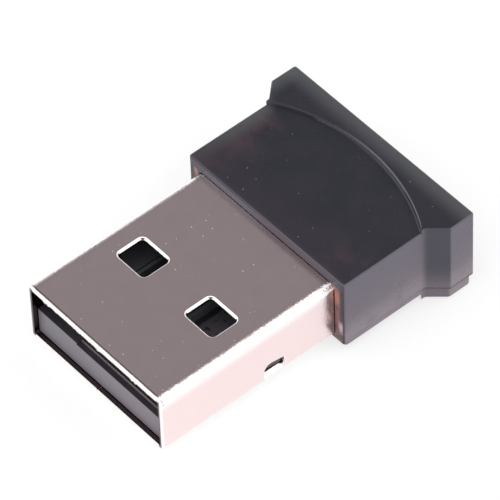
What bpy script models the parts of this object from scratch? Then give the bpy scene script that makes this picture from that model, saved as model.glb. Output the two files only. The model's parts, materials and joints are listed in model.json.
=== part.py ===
"""A nano USB wireless adapter: a folded steel plug held in a two-shell cap, with its circuit board inside.

The plug's mouth faces -Y, the cap is at +Y, X is the width and +Z is up. Lengths are in metres.
Places below are measured from the middle of the plug's mouth, at the underside of its shell.
One empty, the plug frame, carries every piece from there to the part's own origin, which lies
under the middle of the whole adapter, level with the lowest face of the cap.
"""

import math

import bmesh
import bpy
from mathutils import Matrix, Vector

# The plug's shell, one strip of sheet folded into a tube with its seam underneath
SHELL_WIDTH = 0.0120
SHELL_HEIGHT = 0.0045
SHEET = 0.0003
SHELL_BEND = 0.0005
MOUTH_TURN = 0.00003
MOUTH_LENGTH = 0.0003
PLUG_REACH = 0.01303
SHELL_HELD = 0.0022
SEAM_GAP = 0.00006
DOVETAIL_SETBACK = 0.0030
DOVETAIL_PITCH = 0.0052
DOVETAIL_REACH = 0.0009
DOVETAIL_LENGTH = 0.0013
DOVETAIL_FLARE = 0.0002

# The square windows that a socket's springs drop into, two above and two below
WINDOW_WIDTH = 0.00239
WINDOW_LENGTH = 0.00194
WINDOW_SETBACK = 0.00531
WINDOW_FROM_MIDDLE = 0.00185
WINDOW_CORNER = 0.00028

# The latches in the shell's sides, pressed in to lock the carrier
LATCH_SETBACK = 0.00764
LATCH_LENGTH = 0.00155
LATCH_TOP = 0.00155
LATCH_FALL = 0.0003
LATCH_PRESS = 0.00035
LATCH_SLOT = 0.0008
LATCH_ROUND = 0.0005
LATCH_LAP = 0.0001

# The legs at the back of the shell's sides, soldered to the board
LEG_LENGTH = 0.0010
LEG_HEIGHT = 0.0014

# The black carrier: a tongue in the mouth and a block behind it
TONGUE_SETBACK = 0.00035
TONGUE_THICKNESS = 0.0020
BLOCK_LENGTH = 0.0048
BLOCK_RECESS = 0.0012
GROOVE_DEPTH = 0.00015
NOSE_STEP_PLACE = -0.0021
NOSE_STEP_DROP = 0.00014
NOSE_STEP_LENGTH = 0.0004

# The four contacts: the outer two reach further forward than the inner two
CONTACT_WIDTH = 0.0010
CONTACT_THICKNESS = 0.00025
OUTER_CONTACT_PLACE = 0.0035
INNER_CONTACT_PLACE = 0.0010
OUTER_CONTACT_SETBACK = 0.0012
INNER_CONTACT_SETBACK = 0.0022
CONTACT_TIP_DROP = 0.0004
CONTACT_TIP_ROUND = 0.00025
TAIL_REACH = 0.0006

# The cap, T-shaped in plan, with a raised band along its back
BODY_SIDE = 0.00088
BODY_ABOVE = 0.00068
BODY_BELOW = 0.0005
BOARD_RUN = 0.00402
FLARE_RUN = 0.00111
FLARE_SIDE = 0.00103
EAR_DEPTH = 0.00187
WAIST_FILLET = 0.0004
BAND_RAISE = 0.00027
BAND_DROP = 0.00035
ARC_RISE = 0.00193
WALL = 0.0007
CEILING_RELIEF = 0.00015
CAP_CORNER = 0.00016
CAP_EDGE = 0.00012
SEAM_LEVEL = 0.0001
COVER_INSET = 0.00012
COVER_EDGE = 0.00025
LIP_HEIGHT = 0.0006
LIP_THICKNESS = 0.0004

# Posts and stops that hold the board and the shell inside the cap
POST_RADIUS = 0.0004
POST_FROM_EDGE = 0.00063
PIN_RADIUS = 0.00022
PIN_LENGTH = 0.0009
STOP_WIDTH = 0.0010
STOP_DEPTH = 0.0006
STOP_DROP = 0.0012

# The board and what is soldered on it
BOARD_THICKNESS = 0.0006
BOARD_CLEARANCE = 0.0001
PARTS_FROM_LEFT = 0.00078
PARTS_FROM_RIGHT = 0.00113
RADIO_FROM_BACK = 0.0008
RADIO_HEIGHT = 0.0009
MEMORY_WIDTH = 0.0020
MEMORY_FROM_POSTS = 0.000035
MEMORY_HEIGHT = 0.0007
CRYSTAL_WIDTH = 0.0020
CRYSTAL_LENGTH = 0.0025
CRYSTAL_HEIGHT = 0.0006
CRYSTAL_BRIM = 0.00012
CRYSTAL_BRIM_HEIGHT = 0.00015
SMALL_PART_LENGTH = 0.0010
SMALL_PART_WIDTH = 0.0005
SMALL_PART_HEIGHT = 0.0005
COLUMN_PLACES = 3
COIL_LENGTH = 0.0016
COIL_WIDTH = 0.0008
COIL_HEIGHT = 0.0008
LED_LENGTH = 0.0016
LED_WIDTH = 0.0008
LED_HEIGHT = 0.0006
PART_GAP = 0.00015
PART_EDGE = 0.00004
SOLDER_REACH = 0.0005
SOLDER_HEIGHT = 0.0003
ANTENNA_TEETH = 7
ANTENNA_TRACE = 0.0002
ANTENNA_COPPER = 0.00004
ANTENNA_DEPTH = 0.00062

# Clearances: a moulded fit, and the hair left where two pieces touch
FIT = 0.00006
SEAT = 0.00002

# How finely round shapes are divided, and how far a cutter passes what it cuts
CORNER_STEPS = 5
ARC_STEPS = 20
ROUND_SIDES = 20
BEVEL_STEPS = 2
OVERCUT = 0.0005
SMALLEST_ROUND = 0.00005
WELD = 0.0000001
SMOOTH_ANGLE = math.radians(40)

# Levels and places that follow from the sizes above
SHELL_HALF = SHELL_WIDTH / 2
SHELL_END = PLUG_REACH + SHELL_HELD
BODY_HALF = SHELL_HALF + BODY_SIDE
BAND_HALF = BODY_HALF + FLARE_SIDE
WAIST = SHELL_END + BOARD_RUN
EAR = WAIST + FLARE_RUN
BACK = EAR + EAR_DEPTH
BODY_TOP = SHELL_HEIGHT + BODY_ABOVE
BAND_TOP = BODY_TOP + BAND_RAISE
BODY_UNDER = -BODY_BELOW
BAND_UNDER = BODY_UNDER - BAND_DROP
CEILING = SHELL_HEIGHT + CEILING_RELIEF
TONGUE_TOP = SHEET + TONGUE_THICKNESS
BLOCK_BACK = SHELL_END - BLOCK_RECESS
BLOCK_FRONT = BLOCK_BACK - BLOCK_LENGTH
CONTACT_UNDER = TONGUE_TOP - GROOVE_DEPTH + SEAT
CONTACT_TOP = CONTACT_UNDER + CONTACT_THICKNESS
BOARD_TOP = CONTACT_UNDER - SEAT
BOARD_UNDER = BOARD_TOP - BOARD_THICKNESS
BOARD_MARGIN = WALL + BOARD_CLEARANCE
BOARD_HALF = BODY_HALF - BOARD_MARGIN
BOARD_BACK = BACK - BOARD_MARGIN
TAIL_END = SHELL_END + TAIL_REACH
LEG_INNER = SHELL_HALF - SHEET
PART_FLOOR = BOARD_TOP + SEAT
PARTS_FRONT = TAIL_END + SOLDER_REACH + 2 * PART_GAP
RADIO_LENGTH = BOARD_BACK - RADIO_FROM_BACK - PARTS_FRONT
RADIO_LEFT = PARTS_FROM_LEFT - BOARD_HALF + MEMORY_WIDTH + SMALL_PART_WIDTH + 2 * PART_GAP
RADIO_RIGHT = BOARD_HALF - PARTS_FROM_RIGHT - CRYSTAL_WIDTH - 2 * SMALL_PART_WIDTH - 3 * PART_GAP
ANTENNA_BACK = BOARD_BACK - ANTENNA_TRACE
ANTENNA_FRONT = ANTENNA_BACK - ANTENNA_DEPTH
POST_PLACE = BOARD_HALF - POST_FROM_EDGE
FRONT_POST = SHELL_END + LEG_LENGTH + BOARD_CLEARANCE + POST_RADIUS + FIT
REAR_POST = ANTENNA_FRONT - PART_GAP - 2 * POST_RADIUS
MEMORY_LENGTH = REAR_POST - FRONT_POST - 2 * (POST_RADIUS + MEMORY_FROM_POSTS)
CONTACT_PLACES = (-OUTER_CONTACT_PLACE, -INNER_CONTACT_PLACE, INNER_CONTACT_PLACE, OUTER_CONTACT_PLACE)

# Which way an outline's own axes lie for each plane that it can be drawn on
PLANES = {
    "XY": Matrix(((1, 0, 0), (0, 1, 0), (0, 0, 1))).to_4x4(),
    "XZ": Matrix(((1, 0, 0), (0, 0, -1), (0, 1, 0))).to_4x4(),
    "YZ": Matrix(((0, 0, 1), (1, 0, 0), (0, 1, 0))).to_4x4(),
}
ACROSS = {"XY": Vector((0, 0, 1)), "XZ": Vector((0, 1, 0)), "YZ": Vector((1, 0, 0))}

# Colour, roughness and metallic value of each finish
FINISHES = {
    "smoke_plastic": ((0.050, 0.047, 0.052), 0.28, 0.0),
    "nickel_plate": ((0.62, 0.57, 0.57), 0.24, 1.0),
    "black_plastic": ((0.045, 0.043, 0.050), 0.45, 0.0),
    "gold_plate": ((0.83, 0.62, 0.26), 0.22, 1.0),
    "green_board": ((0.030, 0.110, 0.060), 0.40, 0.0),
    "chip_plastic": ((0.020, 0.020, 0.022), 0.50, 0.0),
    "tin": ((0.70, 0.70, 0.68), 0.30, 1.0),
    "ceramic": ((0.45, 0.32, 0.20), 0.50, 0.0),
    "resistor_black": ((0.030, 0.030, 0.035), 0.40, 0.0),
    "copper": ((0.72, 0.38, 0.20), 0.35, 1.0),
    "led_lens": ((0.78, 0.80, 0.82), 0.25, 0.0),
}


def clear_scene():
    for obj in list(bpy.data.objects):
        bpy.data.objects.remove(obj, do_unlink=True)


def make_collection(name):
    collection = bpy.data.collections.new(name)
    bpy.context.scene.collection.children.link(collection)
    return collection


def finish(name):
    """The Principled material of that finish, made the first time that it is asked for."""
    if name in bpy.data.materials:
        return bpy.data.materials[name]
    colour, roughness, metallic = FINISHES[name]
    material = bpy.data.materials.new(name)
    material.use_nodes = True
    shader = material.node_tree.nodes["Principled BSDF"]
    shader.inputs["Base Color"].default_value = (*colour, 1)
    shader.inputs["Roughness"].default_value = roughness
    shader.inputs["Metallic"].default_value = metallic
    material.diffuse_color = (*colour, 1)
    return material


def place(name, mesh, finish_name=None, matrix=None):
    """Puts a mesh on the plug frame: a piece where a finish is named, and otherwise a cutter or a helper."""
    obj = bpy.data.objects.new(name, mesh)
    obj.parent = bpy.data.objects["plug_frame"]
    obj.matrix_basis = matrix or Matrix()
    if finish_name is None:
        bpy.data.collections["cutters"].objects.link(obj)
        obj.hide_render = True
        obj.display_type = "WIRE"
        return obj
    bpy.data.collections["usb_wireless_adapter"].objects.link(obj)
    obj.data.materials.append(finish(finish_name))
    return obj


def smooth(obj):
    """Shades an object's round stretches smooth and keeps its edges sharp."""
    obj.data.shade_smooth()
    obj.data.set_sharp_from_angle(angle=SMOOTH_ANGLE)


def boolean(obj, other, operation="DIFFERENCE"):
    modifier = obj.modifiers.new(other.name, "BOOLEAN")
    modifier.operation = operation
    modifier.object = other


def bevel_edges(obj, width, steps=BEVEL_STEPS):
    """A live bevel on the edges that were weighted, or on every sharp edge where none was."""
    modifier = obj.modifiers.new("edge_round", "BEVEL")
    modifier.width = width
    modifier.segments = steps
    weighted = "bevel_weight_edge" in obj.data.attributes
    modifier.limit_method = "WEIGHT" if weighted else "ANGLE"
    modifier.angle_limit = SMOOTH_ANGLE


def weight_rim(obj, level):
    """Marks for the bevel the edges that lie at one level of the mesh's own Z."""
    weights = obj.data.attributes.new("bevel_weight_edge", "FLOAT", "EDGE")
    for edge in obj.data.edges:
        ends = [obj.data.vertices[index].co.z for index in edge.vertices]
        weights.data[edge.index].value = float(all(abs(z - level) < WELD for z in ends))


def vectors(points):
    return [Vector(point) for point in points]


def rounded(points, radii, steps=CORNER_STEPS):
    """A closed outline with each corner turned into an arc of its own radius."""
    outline = []
    for index, (corner, radius) in enumerate(zip(points, radii)):
        if radius <= 0:
            outline.append(corner)
            continue
        before = (points[index - 1] - corner).normalized()
        after = (points[(index + 1) % len(points)] - corner).normalized()
        half = before.angle(after) / 2
        centre = corner + (before + after).normalized() * radius / math.sin(half)
        spoke = corner + before * radius / math.tan(half) - centre
        turn = math.copysign(math.pi - 2 * half, (-before).cross(after))
        for step in range(steps + 1):
            outline.append(centre + Matrix.Rotation(turn * step / steps, 2) @ spoke)
    return outline


def inset(points, distance):
    """An outline drawn anticlockwise, with every side moved inwards by the distance."""
    moved = []
    for index, corner in enumerate(points):
        before = (corner - points[index - 1]).normalized()
        after = (points[(index + 1) % len(points)] - corner).normalized()
        first = Vector((-before.y, before.x))
        second = Vector((-after.y, after.x))
        moved.append(corner + (first + second) * distance / (1 + first.dot(second)))
    return moved


def rectangle(left, right, low, high):
    return vectors(((left, low), (right, low), (right, high), (left, high)))


def extruded(name, outline, start, end, finish_name=None, plane="XY"):
    """A solid of one flat outline, which runs from start to end across its plane."""
    curve = bpy.data.curves.new(name, "CURVE")
    curve.dimensions = "2D"
    curve.fill_mode = "BOTH"
    curve.extrude = (end - start) / 2
    spline = curve.splines.new("POLY")
    spline.points.add(len(outline) - 1)
    for point, (x, y) in zip(spline.points, outline):
        point.co = (x, y, 0, 1)
    spline.use_cyclic_u = True
    guide = bpy.data.objects.new(name + "_outline", curve)
    bpy.context.scene.collection.objects.link(guide)
    graph = bpy.context.evaluated_depsgraph_get()
    mesh = bpy.data.meshes.new_from_object(guide.evaluated_get(graph))
    mesh.name = name
    bpy.data.objects.remove(guide)
    solid = bmesh.new()
    solid.from_mesh(mesh)
    bmesh.ops.remove_doubles(solid, verts=solid.verts, dist=WELD)
    for level in (-curve.extrude, curve.extrude):
        # Each end is one flat face again, whatever triangles it was filled with
        end_faces = []
        for face in solid.faces:
            if all(abs(vert.co.z - level) < WELD for vert in face.verts):
                end_faces.append(face)
        bmesh.ops.dissolve_faces(solid, faces=end_faces)
    bmesh.ops.recalc_face_normals(solid, faces=solid.faces)
    solid.to_mesh(mesh)
    solid.free()
    middle = Matrix.Translation(ACROSS[plane] * (start + end) / 2)
    return place(name, mesh, finish_name, middle @ PLANES[plane])


def box(name, size, centre, finish_name=None, edge=0.0):
    """A block by its size and its centre, with its edges rounded where a width is given."""
    block = bmesh.new()
    bmesh.ops.create_cube(block, size=1.0)
    bmesh.ops.scale(block, vec=size, verts=block.verts)
    mesh = bpy.data.meshes.new(name)
    block.to_mesh(mesh)
    block.free()
    obj = place(name, mesh, finish_name, Matrix.Translation(centre))
    if edge:
        bevel_edges(obj, edge)
    return obj


def cylinder(name, radius, bottom, top, x, y):
    """An upright round post, pin or hole between two levels."""
    post = bmesh.new()
    bmesh.ops.create_cone(
        post, cap_ends=True, segments=ROUND_SIDES, radius1=radius, radius2=radius, depth=top - bottom
    )
    mesh = bpy.data.meshes.new(name)
    post.to_mesh(mesh)
    post.free()
    return place(name, mesh, matrix=Matrix.Translation((x, y, (bottom + top) / 2)))


def ribbon(path, width):
    """The outline of a flat strip of even width along a path, with mitred corners."""
    normals = []
    for start, end in zip(path, path[1:]):
        along = (end - start).normalized()
        normals.append(Vector((-along.y, along.x)))
    offsets = [normals[0]]
    for first, second in zip(normals, normals[1:]):
        offsets.append((first + second) / (1 + first.dot(second)))
    offsets.append(normals[-1])
    left = [point + offset * width / 2 for point, offset in zip(path, offsets)]
    right = [point - offset * width / 2 for point, offset in zip(path, offsets)]
    return right + left[::-1]


def shell_section(margin=0.0):
    """The shell's outside in cross-section, let out or taken in by a margin."""
    half = SHELL_HALF + margin
    fold = max(SHELL_BEND + margin, SMALLEST_ROUND)
    corners = rectangle(-half, half, -margin, SHELL_HEIGHT + margin)
    return rounded(corners, [fold] * 4)


def cap_outline(margin=0.0):
    """The cap's T shape in plan, anticlockwise from its front left corner, taken in by a margin."""
    corners = vectors(
        (
            (-BODY_HALF, PLUG_REACH),
            (BODY_HALF, PLUG_REACH),
            (BODY_HALF, WAIST),
            (BAND_HALF, EAR),
            (BAND_HALF, BACK),
            (-BAND_HALF, BACK),
            (-BAND_HALF, EAR),
            (-BODY_HALF, WAIST),
        )
    )
    return inset(corners, margin)


def arc(half_chord, level, rise):
    """Points from left to right of an arc that bulges towards the back by its rise."""
    radius = (half_chord**2 + rise**2) / (2 * rise)
    swing = math.asin(half_chord / radius)
    points = []
    for step in range(ARC_STEPS + 1):
        angle = swing * (2 * step / ARC_STEPS - 1)
        points.append(Vector((radius * math.sin(angle), level + rise - radius * (1 - math.cos(angle)))))
    return points


def band_outline(margin=0.0):
    """The raised band in plan: an arc in front, then the flares, the ears and the straight back."""
    corners = cap_outline(margin)
    waist, ear, back = corners[2], corners[3], corners[4]
    # The band's sides start a hair inside the block's, so that the waist's fillets leave them at an angle
    waist.x -= SEAT
    front = arc(waist.x, waist.y - WAIST_FILLET / 2, ARC_RISE)
    right = [waist, ear, back]
    left = [Vector((-corner.x, corner.y)) for corner in reversed(right)]
    corner_radii = [WAIST_FILLET, CAP_CORNER, CAP_CORNER]
    radii = [0.0] * len(front) + corner_radii + corner_radii[::-1]
    return rounded(front + right + left, radii)


def body_outline(margin=0.0):
    """The cap's front block in plan, which runs on inside the band."""
    corners = cap_outline(margin)
    half, front = corners[1]
    back = corners[4].y - WALL / 2
    return rounded(rectangle(-half, half, front, back), (CAP_CORNER, CAP_CORNER, 0, 0))


def lip_outline():
    """The lip in plan: a strip just inside the cap's walls, open towards the plug."""
    path = cap_outline(WALL + FIT + LIP_THICKNESS / 2)[2:]
    half = path[0].x
    front = SHELL_END + LEG_LENGTH + 2 * FIT
    return ribbon([Vector((half, front)), *path, Vector((-half, front))], LIP_THICKNESS)


def shell_passage(name):
    """The room that the shell and its legs need in the cap, as a cutter."""
    end = SHELL_END + LEG_LENGTH + FIT
    return extruded(name, shell_section(FIT), PLUG_REACH - OVERCUT, end, plane="XZ")


def make_upper_housing():
    """The cap's top shell: a stepped T-shaped moulding, hollow inside, open below and at the plug."""
    housing = extruded("upper_housing", body_outline(), SEAM_LEVEL, BODY_TOP, "smoke_plastic")
    weight_rim(housing, (BODY_TOP - SEAM_LEVEL) / 2)
    bevel_edges(housing, CAP_EDGE)
    band = extruded("raised_band", band_outline(), SEAM_LEVEL, BAND_TOP)
    weight_rim(band, (BAND_TOP - SEAM_LEVEL) / 2)
    bevel_edges(band, CAP_EDGE)
    boolean(housing, band, "UNION")
    hollow = rounded(cap_outline(WALL), [CAP_CORNER] * 8)
    boolean(housing, extruded("cap_hollow", hollow, SEAM_LEVEL - OVERCUT, CEILING))
    boolean(housing, shell_passage("upper_passage"))
    for side, sign in (("left", -1), ("right", 1)):
        stop_place = (
            sign * (LEG_INNER - STOP_WIDTH / 2),
            SHELL_END + SEAT + STOP_DEPTH / 2,
            CEILING - (STOP_DROP - OVERCUT / 2) / 2,
        )
        stop = box("shell_stop_" + side, (STOP_WIDTH, STOP_DEPTH, STOP_DROP + OVERCUT / 2), stop_place)
        boolean(housing, stop, "UNION")
        for name, depth in (("front", FRONT_POST), ("rear", REAR_POST)):
            post = cylinder(
                f"upper_post_{name}_{side}",
                POST_RADIUS,
                BOARD_TOP + PIN_LENGTH - BOARD_THICKNESS + SEAT,
                CEILING + OVERCUT / 2,
                sign * POST_PLACE,
                depth,
            )
            boolean(housing, post, "UNION")
    smooth(housing)


def make_lower_cover():
    """The cap's bottom shell: a stepped plate with a lip, posts under the board and pins through it."""
    cover = extruded("lower_cover", body_outline(COVER_INSET), BODY_UNDER, SEAM_LEVEL - SEAT, "smoke_plastic")
    weight_rim(cover, (BODY_UNDER - SEAM_LEVEL + SEAT) / 2)
    bevel_edges(cover, COVER_EDGE)
    band = extruded("lower_band", band_outline(COVER_INSET), BAND_UNDER, SEAM_LEVEL - SEAT)
    weight_rim(band, (BAND_UNDER - SEAM_LEVEL + SEAT) / 2)
    bevel_edges(band, COVER_EDGE)
    boolean(cover, band, "UNION")
    lip = extruded("cover_lip", lip_outline(), SEAM_LEVEL - OVERCUT / 2, SEAM_LEVEL + LIP_HEIGHT)
    boolean(cover, lip, "UNION")
    boolean(cover, shell_passage("lower_passage"))
    for side, sign in (("left", -1), ("right", 1)):
        for name, depth in (("front", FRONT_POST), ("rear", REAR_POST)):
            place_name = f"{name}_{side}"
            x = sign * POST_PLACE
            post_top = BOARD_UNDER - SEAT
            post = cylinder("lower_post_" + place_name, POST_RADIUS, BODY_UNDER / 2, post_top, x, depth)
            boolean(cover, post, "UNION")
            pin_top = BOARD_UNDER + PIN_LENGTH
            pin = cylinder("board_pin_" + place_name, PIN_RADIUS, BODY_UNDER / 2, pin_top, x, depth)
            boolean(cover, pin, "UNION")
    smooth(cover)


def shell_tube():
    """The folded sheet's outside as an open tube, turned in a little at the mouth, then thickened."""
    tube = bmesh.new()
    rings = []
    for depth, margin in ((0, -MOUTH_TURN), (MOUTH_LENGTH, 0), (SHELL_END, 0)):
        ring = [tube.verts.new((x, depth, z)) for x, z in shell_section(margin)]
        rings.append([tube.edges.new((ring[index - 1], ring[index])) for index in range(len(ring))])
    for near, far in zip(rings, rings[1:]):
        bmesh.ops.bridge_loops(tube, edges=near + far)
    bmesh.ops.recalc_face_normals(tube, faces=tube.faces)
    mesh = bpy.data.meshes.new("usb_shell")
    tube.to_mesh(mesh)
    tube.free()
    shell = place("usb_shell", mesh, "nickel_plate")
    sheet = shell.modifiers.new("sheet", "SOLIDIFY")
    sheet.thickness = SHEET
    sheet.offset = -1
    sheet.use_even_offset = True
    return shell


def seam_path():
    """The line where the folded sheet's ends meet, with its dovetails to either side."""
    path = [Vector((0, -OVERCUT))]
    for index, sign in enumerate((1, -1)):
        near = DOVETAIL_SETBACK + index * DOVETAIL_PITCH
        far = near + DOVETAIL_LENGTH
        path += vectors(
            (
                (0, near),
                (sign * DOVETAIL_REACH, near - DOVETAIL_FLARE),
                (sign * DOVETAIL_REACH, far + DOVETAIL_FLARE),
                (0, far),
            )
        )
    path.append(Vector((0, SHELL_END + OVERCUT)))
    return path


def latch_outline(bottom, top, margin=0.0):
    """The side latch seen from the side: up from the fold, over a round front, then down to its back."""
    front = LATCH_SETBACK - margin
    back = LATCH_SETBACK + LATCH_LENGTH + margin
    corners = vectors(((front, bottom), (back, bottom), (back, top - LATCH_FALL), (front, top)))
    return rounded(corners, (0, 0, 0, LATCH_ROUND))


def make_usb_shell():
    """The plug's shell: a folded tube with windows, a dovetailed seam, side latches and two legs."""
    shell = shell_tube()
    for side, sign in (("left", -1), ("right", 1)):
        inner = sign * WINDOW_FROM_MIDDLE
        outer = sign * (WINDOW_FROM_MIDDLE + WINDOW_WIDTH)
        corners = rectangle(
            min(inner, outer), max(inner, outer), WINDOW_SETBACK, WINDOW_SETBACK + WINDOW_LENGTH
        )
        window = rounded(corners, [WINDOW_CORNER] * 4)
        boolean(shell, extruded("window_" + side, window, -OVERCUT, SHELL_HEIGHT + OVERCUT))
        # The latch is cut free all round and stands again a little further in
        face = SHELL_HALF - LATCH_PRESS
        cut_ends = sorted((sign * (face - LATCH_LAP), sign * (SHELL_HALF + OVERCUT)))
        hole = latch_outline(-OVERCUT, LATCH_TOP)
        boolean(shell, extruded("latch_hole_" + side, hole, *cut_ends, plane="YZ"))
        tab_ends = sorted((sign * (face - SHEET), sign * face))
        tab = latch_outline(LATCH_LAP, LATCH_TOP - LATCH_SLOT, -SEAM_GAP)
        boolean(shell, extruded("latch_tab_" + side, tab, *tab_ends, plane="YZ"), "UNION")
        leg_size = (SHEET, LEG_LENGTH + OVERCUT, LEG_HEIGHT)
        leg_place = (
            sign * (SHELL_HALF - SHEET / 2),
            SHELL_END + (LEG_LENGTH - OVERCUT) / 2,
            (BOARD_TOP + BOARD_UNDER) / 2,
        )
        boolean(shell, box("shell_leg_" + side, leg_size, leg_place), "UNION")
    seam = ribbon(seam_path(), SEAM_GAP)
    boolean(shell, extruded("folded_seam", seam, -OVERCUT, SHEET + OVERCUT))
    smooth(shell)


def contact_setback(place_across):
    outer = abs(place_across) > (OUTER_CONTACT_PLACE + INNER_CONTACT_PLACE) / 2
    return OUTER_CONTACT_SETBACK if outer else INNER_CONTACT_SETBACK


def make_contact_carrier():
    """The black carrier: a block that fills the shell behind, and the stepped tongue in front of it."""
    section = shell_section(-SHEET - FIT)
    carrier = extruded("contact_carrier", section, TONGUE_SETBACK, BLOCK_BACK, "black_plastic", plane="XZ")
    above = rectangle(-SHELL_HALF, SHELL_HALF, TONGUE_TOP, SHELL_HEIGHT)
    boolean(carrier, extruded("above_tongue", above, -OVERCUT, BLOCK_FRONT, plane="XZ"))
    lowered = rectangle(NOSE_STEP_PLACE, SHELL_HALF, TONGUE_TOP - NOSE_STEP_DROP, SHELL_HEIGHT)
    nose_end = TONGUE_SETBACK + NOSE_STEP_LENGTH
    boolean(carrier, extruded("nose_step", lowered, -OVERCUT, nose_end, plane="XZ"))
    for number, across in enumerate(CONTACT_PLACES, 1):
        setback = contact_setback(across)
        half = CONTACT_WIDTH / 2 + SEAT
        groove = rectangle(across - half, across + half, CONTACT_UNDER - SEAT, CONTACT_TOP + SEAT)
        boolean(
            carrier,
            extruded(f"groove_{number}", groove, setback - SEAT, BLOCK_BACK + OVERCUT, plane="XZ"),
        )
        tip_floor = CONTACT_UNDER - CONTACT_TIP_DROP - 2 * SEAT
        tip_back = setback + CONTACT_THICKNESS + 2 * CONTACT_TIP_ROUND
        pocket = rectangle(across - half, across + half, tip_floor, CONTACT_UNDER)
        boolean(carrier, extruded(f"tip_pocket_{number}", pocket, setback - SEAT, tip_back, plane="XZ"))
    for side, sign in (("left", -1), ("right", 1)):
        face = SHELL_HALF - LATCH_PRESS - SHEET - FIT
        ends = sorted((sign * face, sign * (SHELL_HALF + OVERCUT)))
        pocket = latch_outline(0, LATCH_TOP - LATCH_SLOT + FIT, FIT)
        boolean(carrier, extruded("latch_pocket_" + side, pocket, *ends, plane="YZ"))
    smooth(carrier)


def contact_path(setback):
    """The contact from the side: its tip turns down into the tongue and its tail lies over the board."""
    level = CONTACT_UNDER + CONTACT_THICKNESS / 2
    nose = setback + CONTACT_THICKNESS / 2
    centre = Vector((nose + CONTACT_TIP_ROUND, level - CONTACT_TIP_ROUND))
    path = [Vector((nose, CONTACT_UNDER - CONTACT_TIP_DROP))]
    for step in range(CORNER_STEPS + 1):
        angle = math.pi - math.pi / 2 * step / CORNER_STEPS
        path.append(centre + CONTACT_TIP_ROUND * Vector((math.cos(angle), math.sin(angle))))
    path.append(Vector((TAIL_END, level)))
    return path


def make_contacts():
    for number, across in enumerate(CONTACT_PLACES, 1):
        outline = ribbon(contact_path(contact_setback(across)), CONTACT_THICKNESS)
        ends = (across - CONTACT_WIDTH / 2, across + CONTACT_WIDTH / 2)
        contact = extruded(f"contact_{number}", outline, *ends, "gold_plate", plane="YZ")
        smooth(contact)


def solder_outline(start, reach, height):
    """A solder fillet in section: upright where it wets the metal, then hollowed down to the board."""
    points = [Vector((start, PART_FLOOR))]
    for step in range(CORNER_STEPS + 1):
        angle = math.pi / 2 * step / CORNER_STEPS
        along = start + reach * (1 - math.cos(angle))
        up = PART_FLOOR + height * (1 - math.sin(angle)) + SEAT
        points.append(Vector((along, up)))
    points.append(Vector((start + reach, PART_FLOOR)))
    return points


def make_solder():
    """One fillet behind each contact's tail and one inside each of the shell's legs."""
    for number, across in enumerate(CONTACT_PLACES, 1):
        outline = solder_outline(TAIL_END + SEAT, SOLDER_REACH, CONTACT_THICKNESS)
        ends = (across - CONTACT_WIDTH / 2, across + CONTACT_WIDTH / 2)
        smooth(extruded(f"contact_solder_{number}", outline, *ends, "tin", plane="YZ"))
    for side, sign in (("left", -1), ("right", 1)):
        profile = solder_outline(0, SOLDER_REACH, SOLDER_HEIGHT)
        outline = [Vector((sign * (LEG_INNER - SEAT - x), z)) for x, z in profile]
        start = SHELL_END + BOARD_CLEARANCE
        end = SHELL_END + LEG_LENGTH - BOARD_CLEARANCE
        smooth(extruded("leg_solder_" + side, outline, start, end, "tin", plane="XZ"))


def make_circuit_board():
    """The board: wide in the cap's ears, with a front tab between the shell's legs, and four pin holes."""
    corners = cap_outline(BOARD_MARGIN)
    front = BLOCK_BACK + FIT
    outline = vectors(((corners[0].x, front), (corners[1].x, front))) + corners[2:]
    board = extruded("circuit_board", outline, BOARD_UNDER, BOARD_TOP, "green_board")
    for side, sign in (("left", -1), ("right", 1)):
        ends = sorted((sign * (LEG_INNER - BOARD_CLEARANCE), sign * BAND_HALF))
        notch = rectangle(*ends, front - OVERCUT, SHELL_END + LEG_LENGTH + FIT)
        boolean(board, extruded("shoulder_" + side, notch, BOARD_UNDER - OVERCUT, BOARD_TOP + OVERCUT))
        for name, depth in (("front", FRONT_POST), ("rear", REAR_POST)):
            hole = cylinder(
                f"pin_hole_{name}_{side}",
                PIN_RADIUS + FIT,
                BOARD_UNDER - OVERCUT,
                BOARD_TOP + OVERCUT,
                sign * POST_PLACE,
                depth,
            )
            boolean(board, hole)


def board_part(name, size, x, y, finish_name):
    """A part that stands on the board, its edges just broken."""
    centre = (x, y, PART_FLOOR + size[2] / 2)
    return box(name, size, centre, finish_name, PART_EDGE)


def make_crystal(x, y):
    """The crystal: a low brim with the drawn can on it."""
    can = board_part("crystal_can", (CRYSTAL_WIDTH, CRYSTAL_LENGTH, CRYSTAL_BRIM_HEIGHT), x, y, "tin")
    lid_floor = PART_FLOOR + CRYSTAL_BRIM_HEIGHT / 2
    lid_top = PART_FLOOR + CRYSTAL_HEIGHT
    lid_size = (CRYSTAL_WIDTH - 2 * CRYSTAL_BRIM, CRYSTAL_LENGTH - 2 * CRYSTAL_BRIM, lid_top - lid_floor)
    lid_centre = (x, y, (lid_floor + lid_top) / 2)
    boolean(can, box("crystal_lid", lid_size, lid_centre, edge=CRYSTAL_BRIM), "UNION")


def make_small_parts(x, names):
    """A column of small chip parts, at an even pitch between the contacts' solder and the antenna."""
    pitch = (ANTENNA_FRONT - ANTENNA_TRACE / 2 - PARTS_FRONT) / COLUMN_PLACES
    for index, (name, finish_name) in enumerate(names):
        y = PARTS_FRONT + (index + (COLUMN_PLACES - len(names) + 1) / 2) * pitch
        size = (SMALL_PART_WIDTH, SMALL_PART_LENGTH, SMALL_PART_HEIGHT)
        board_part(name, size, x, y, finish_name)


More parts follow.
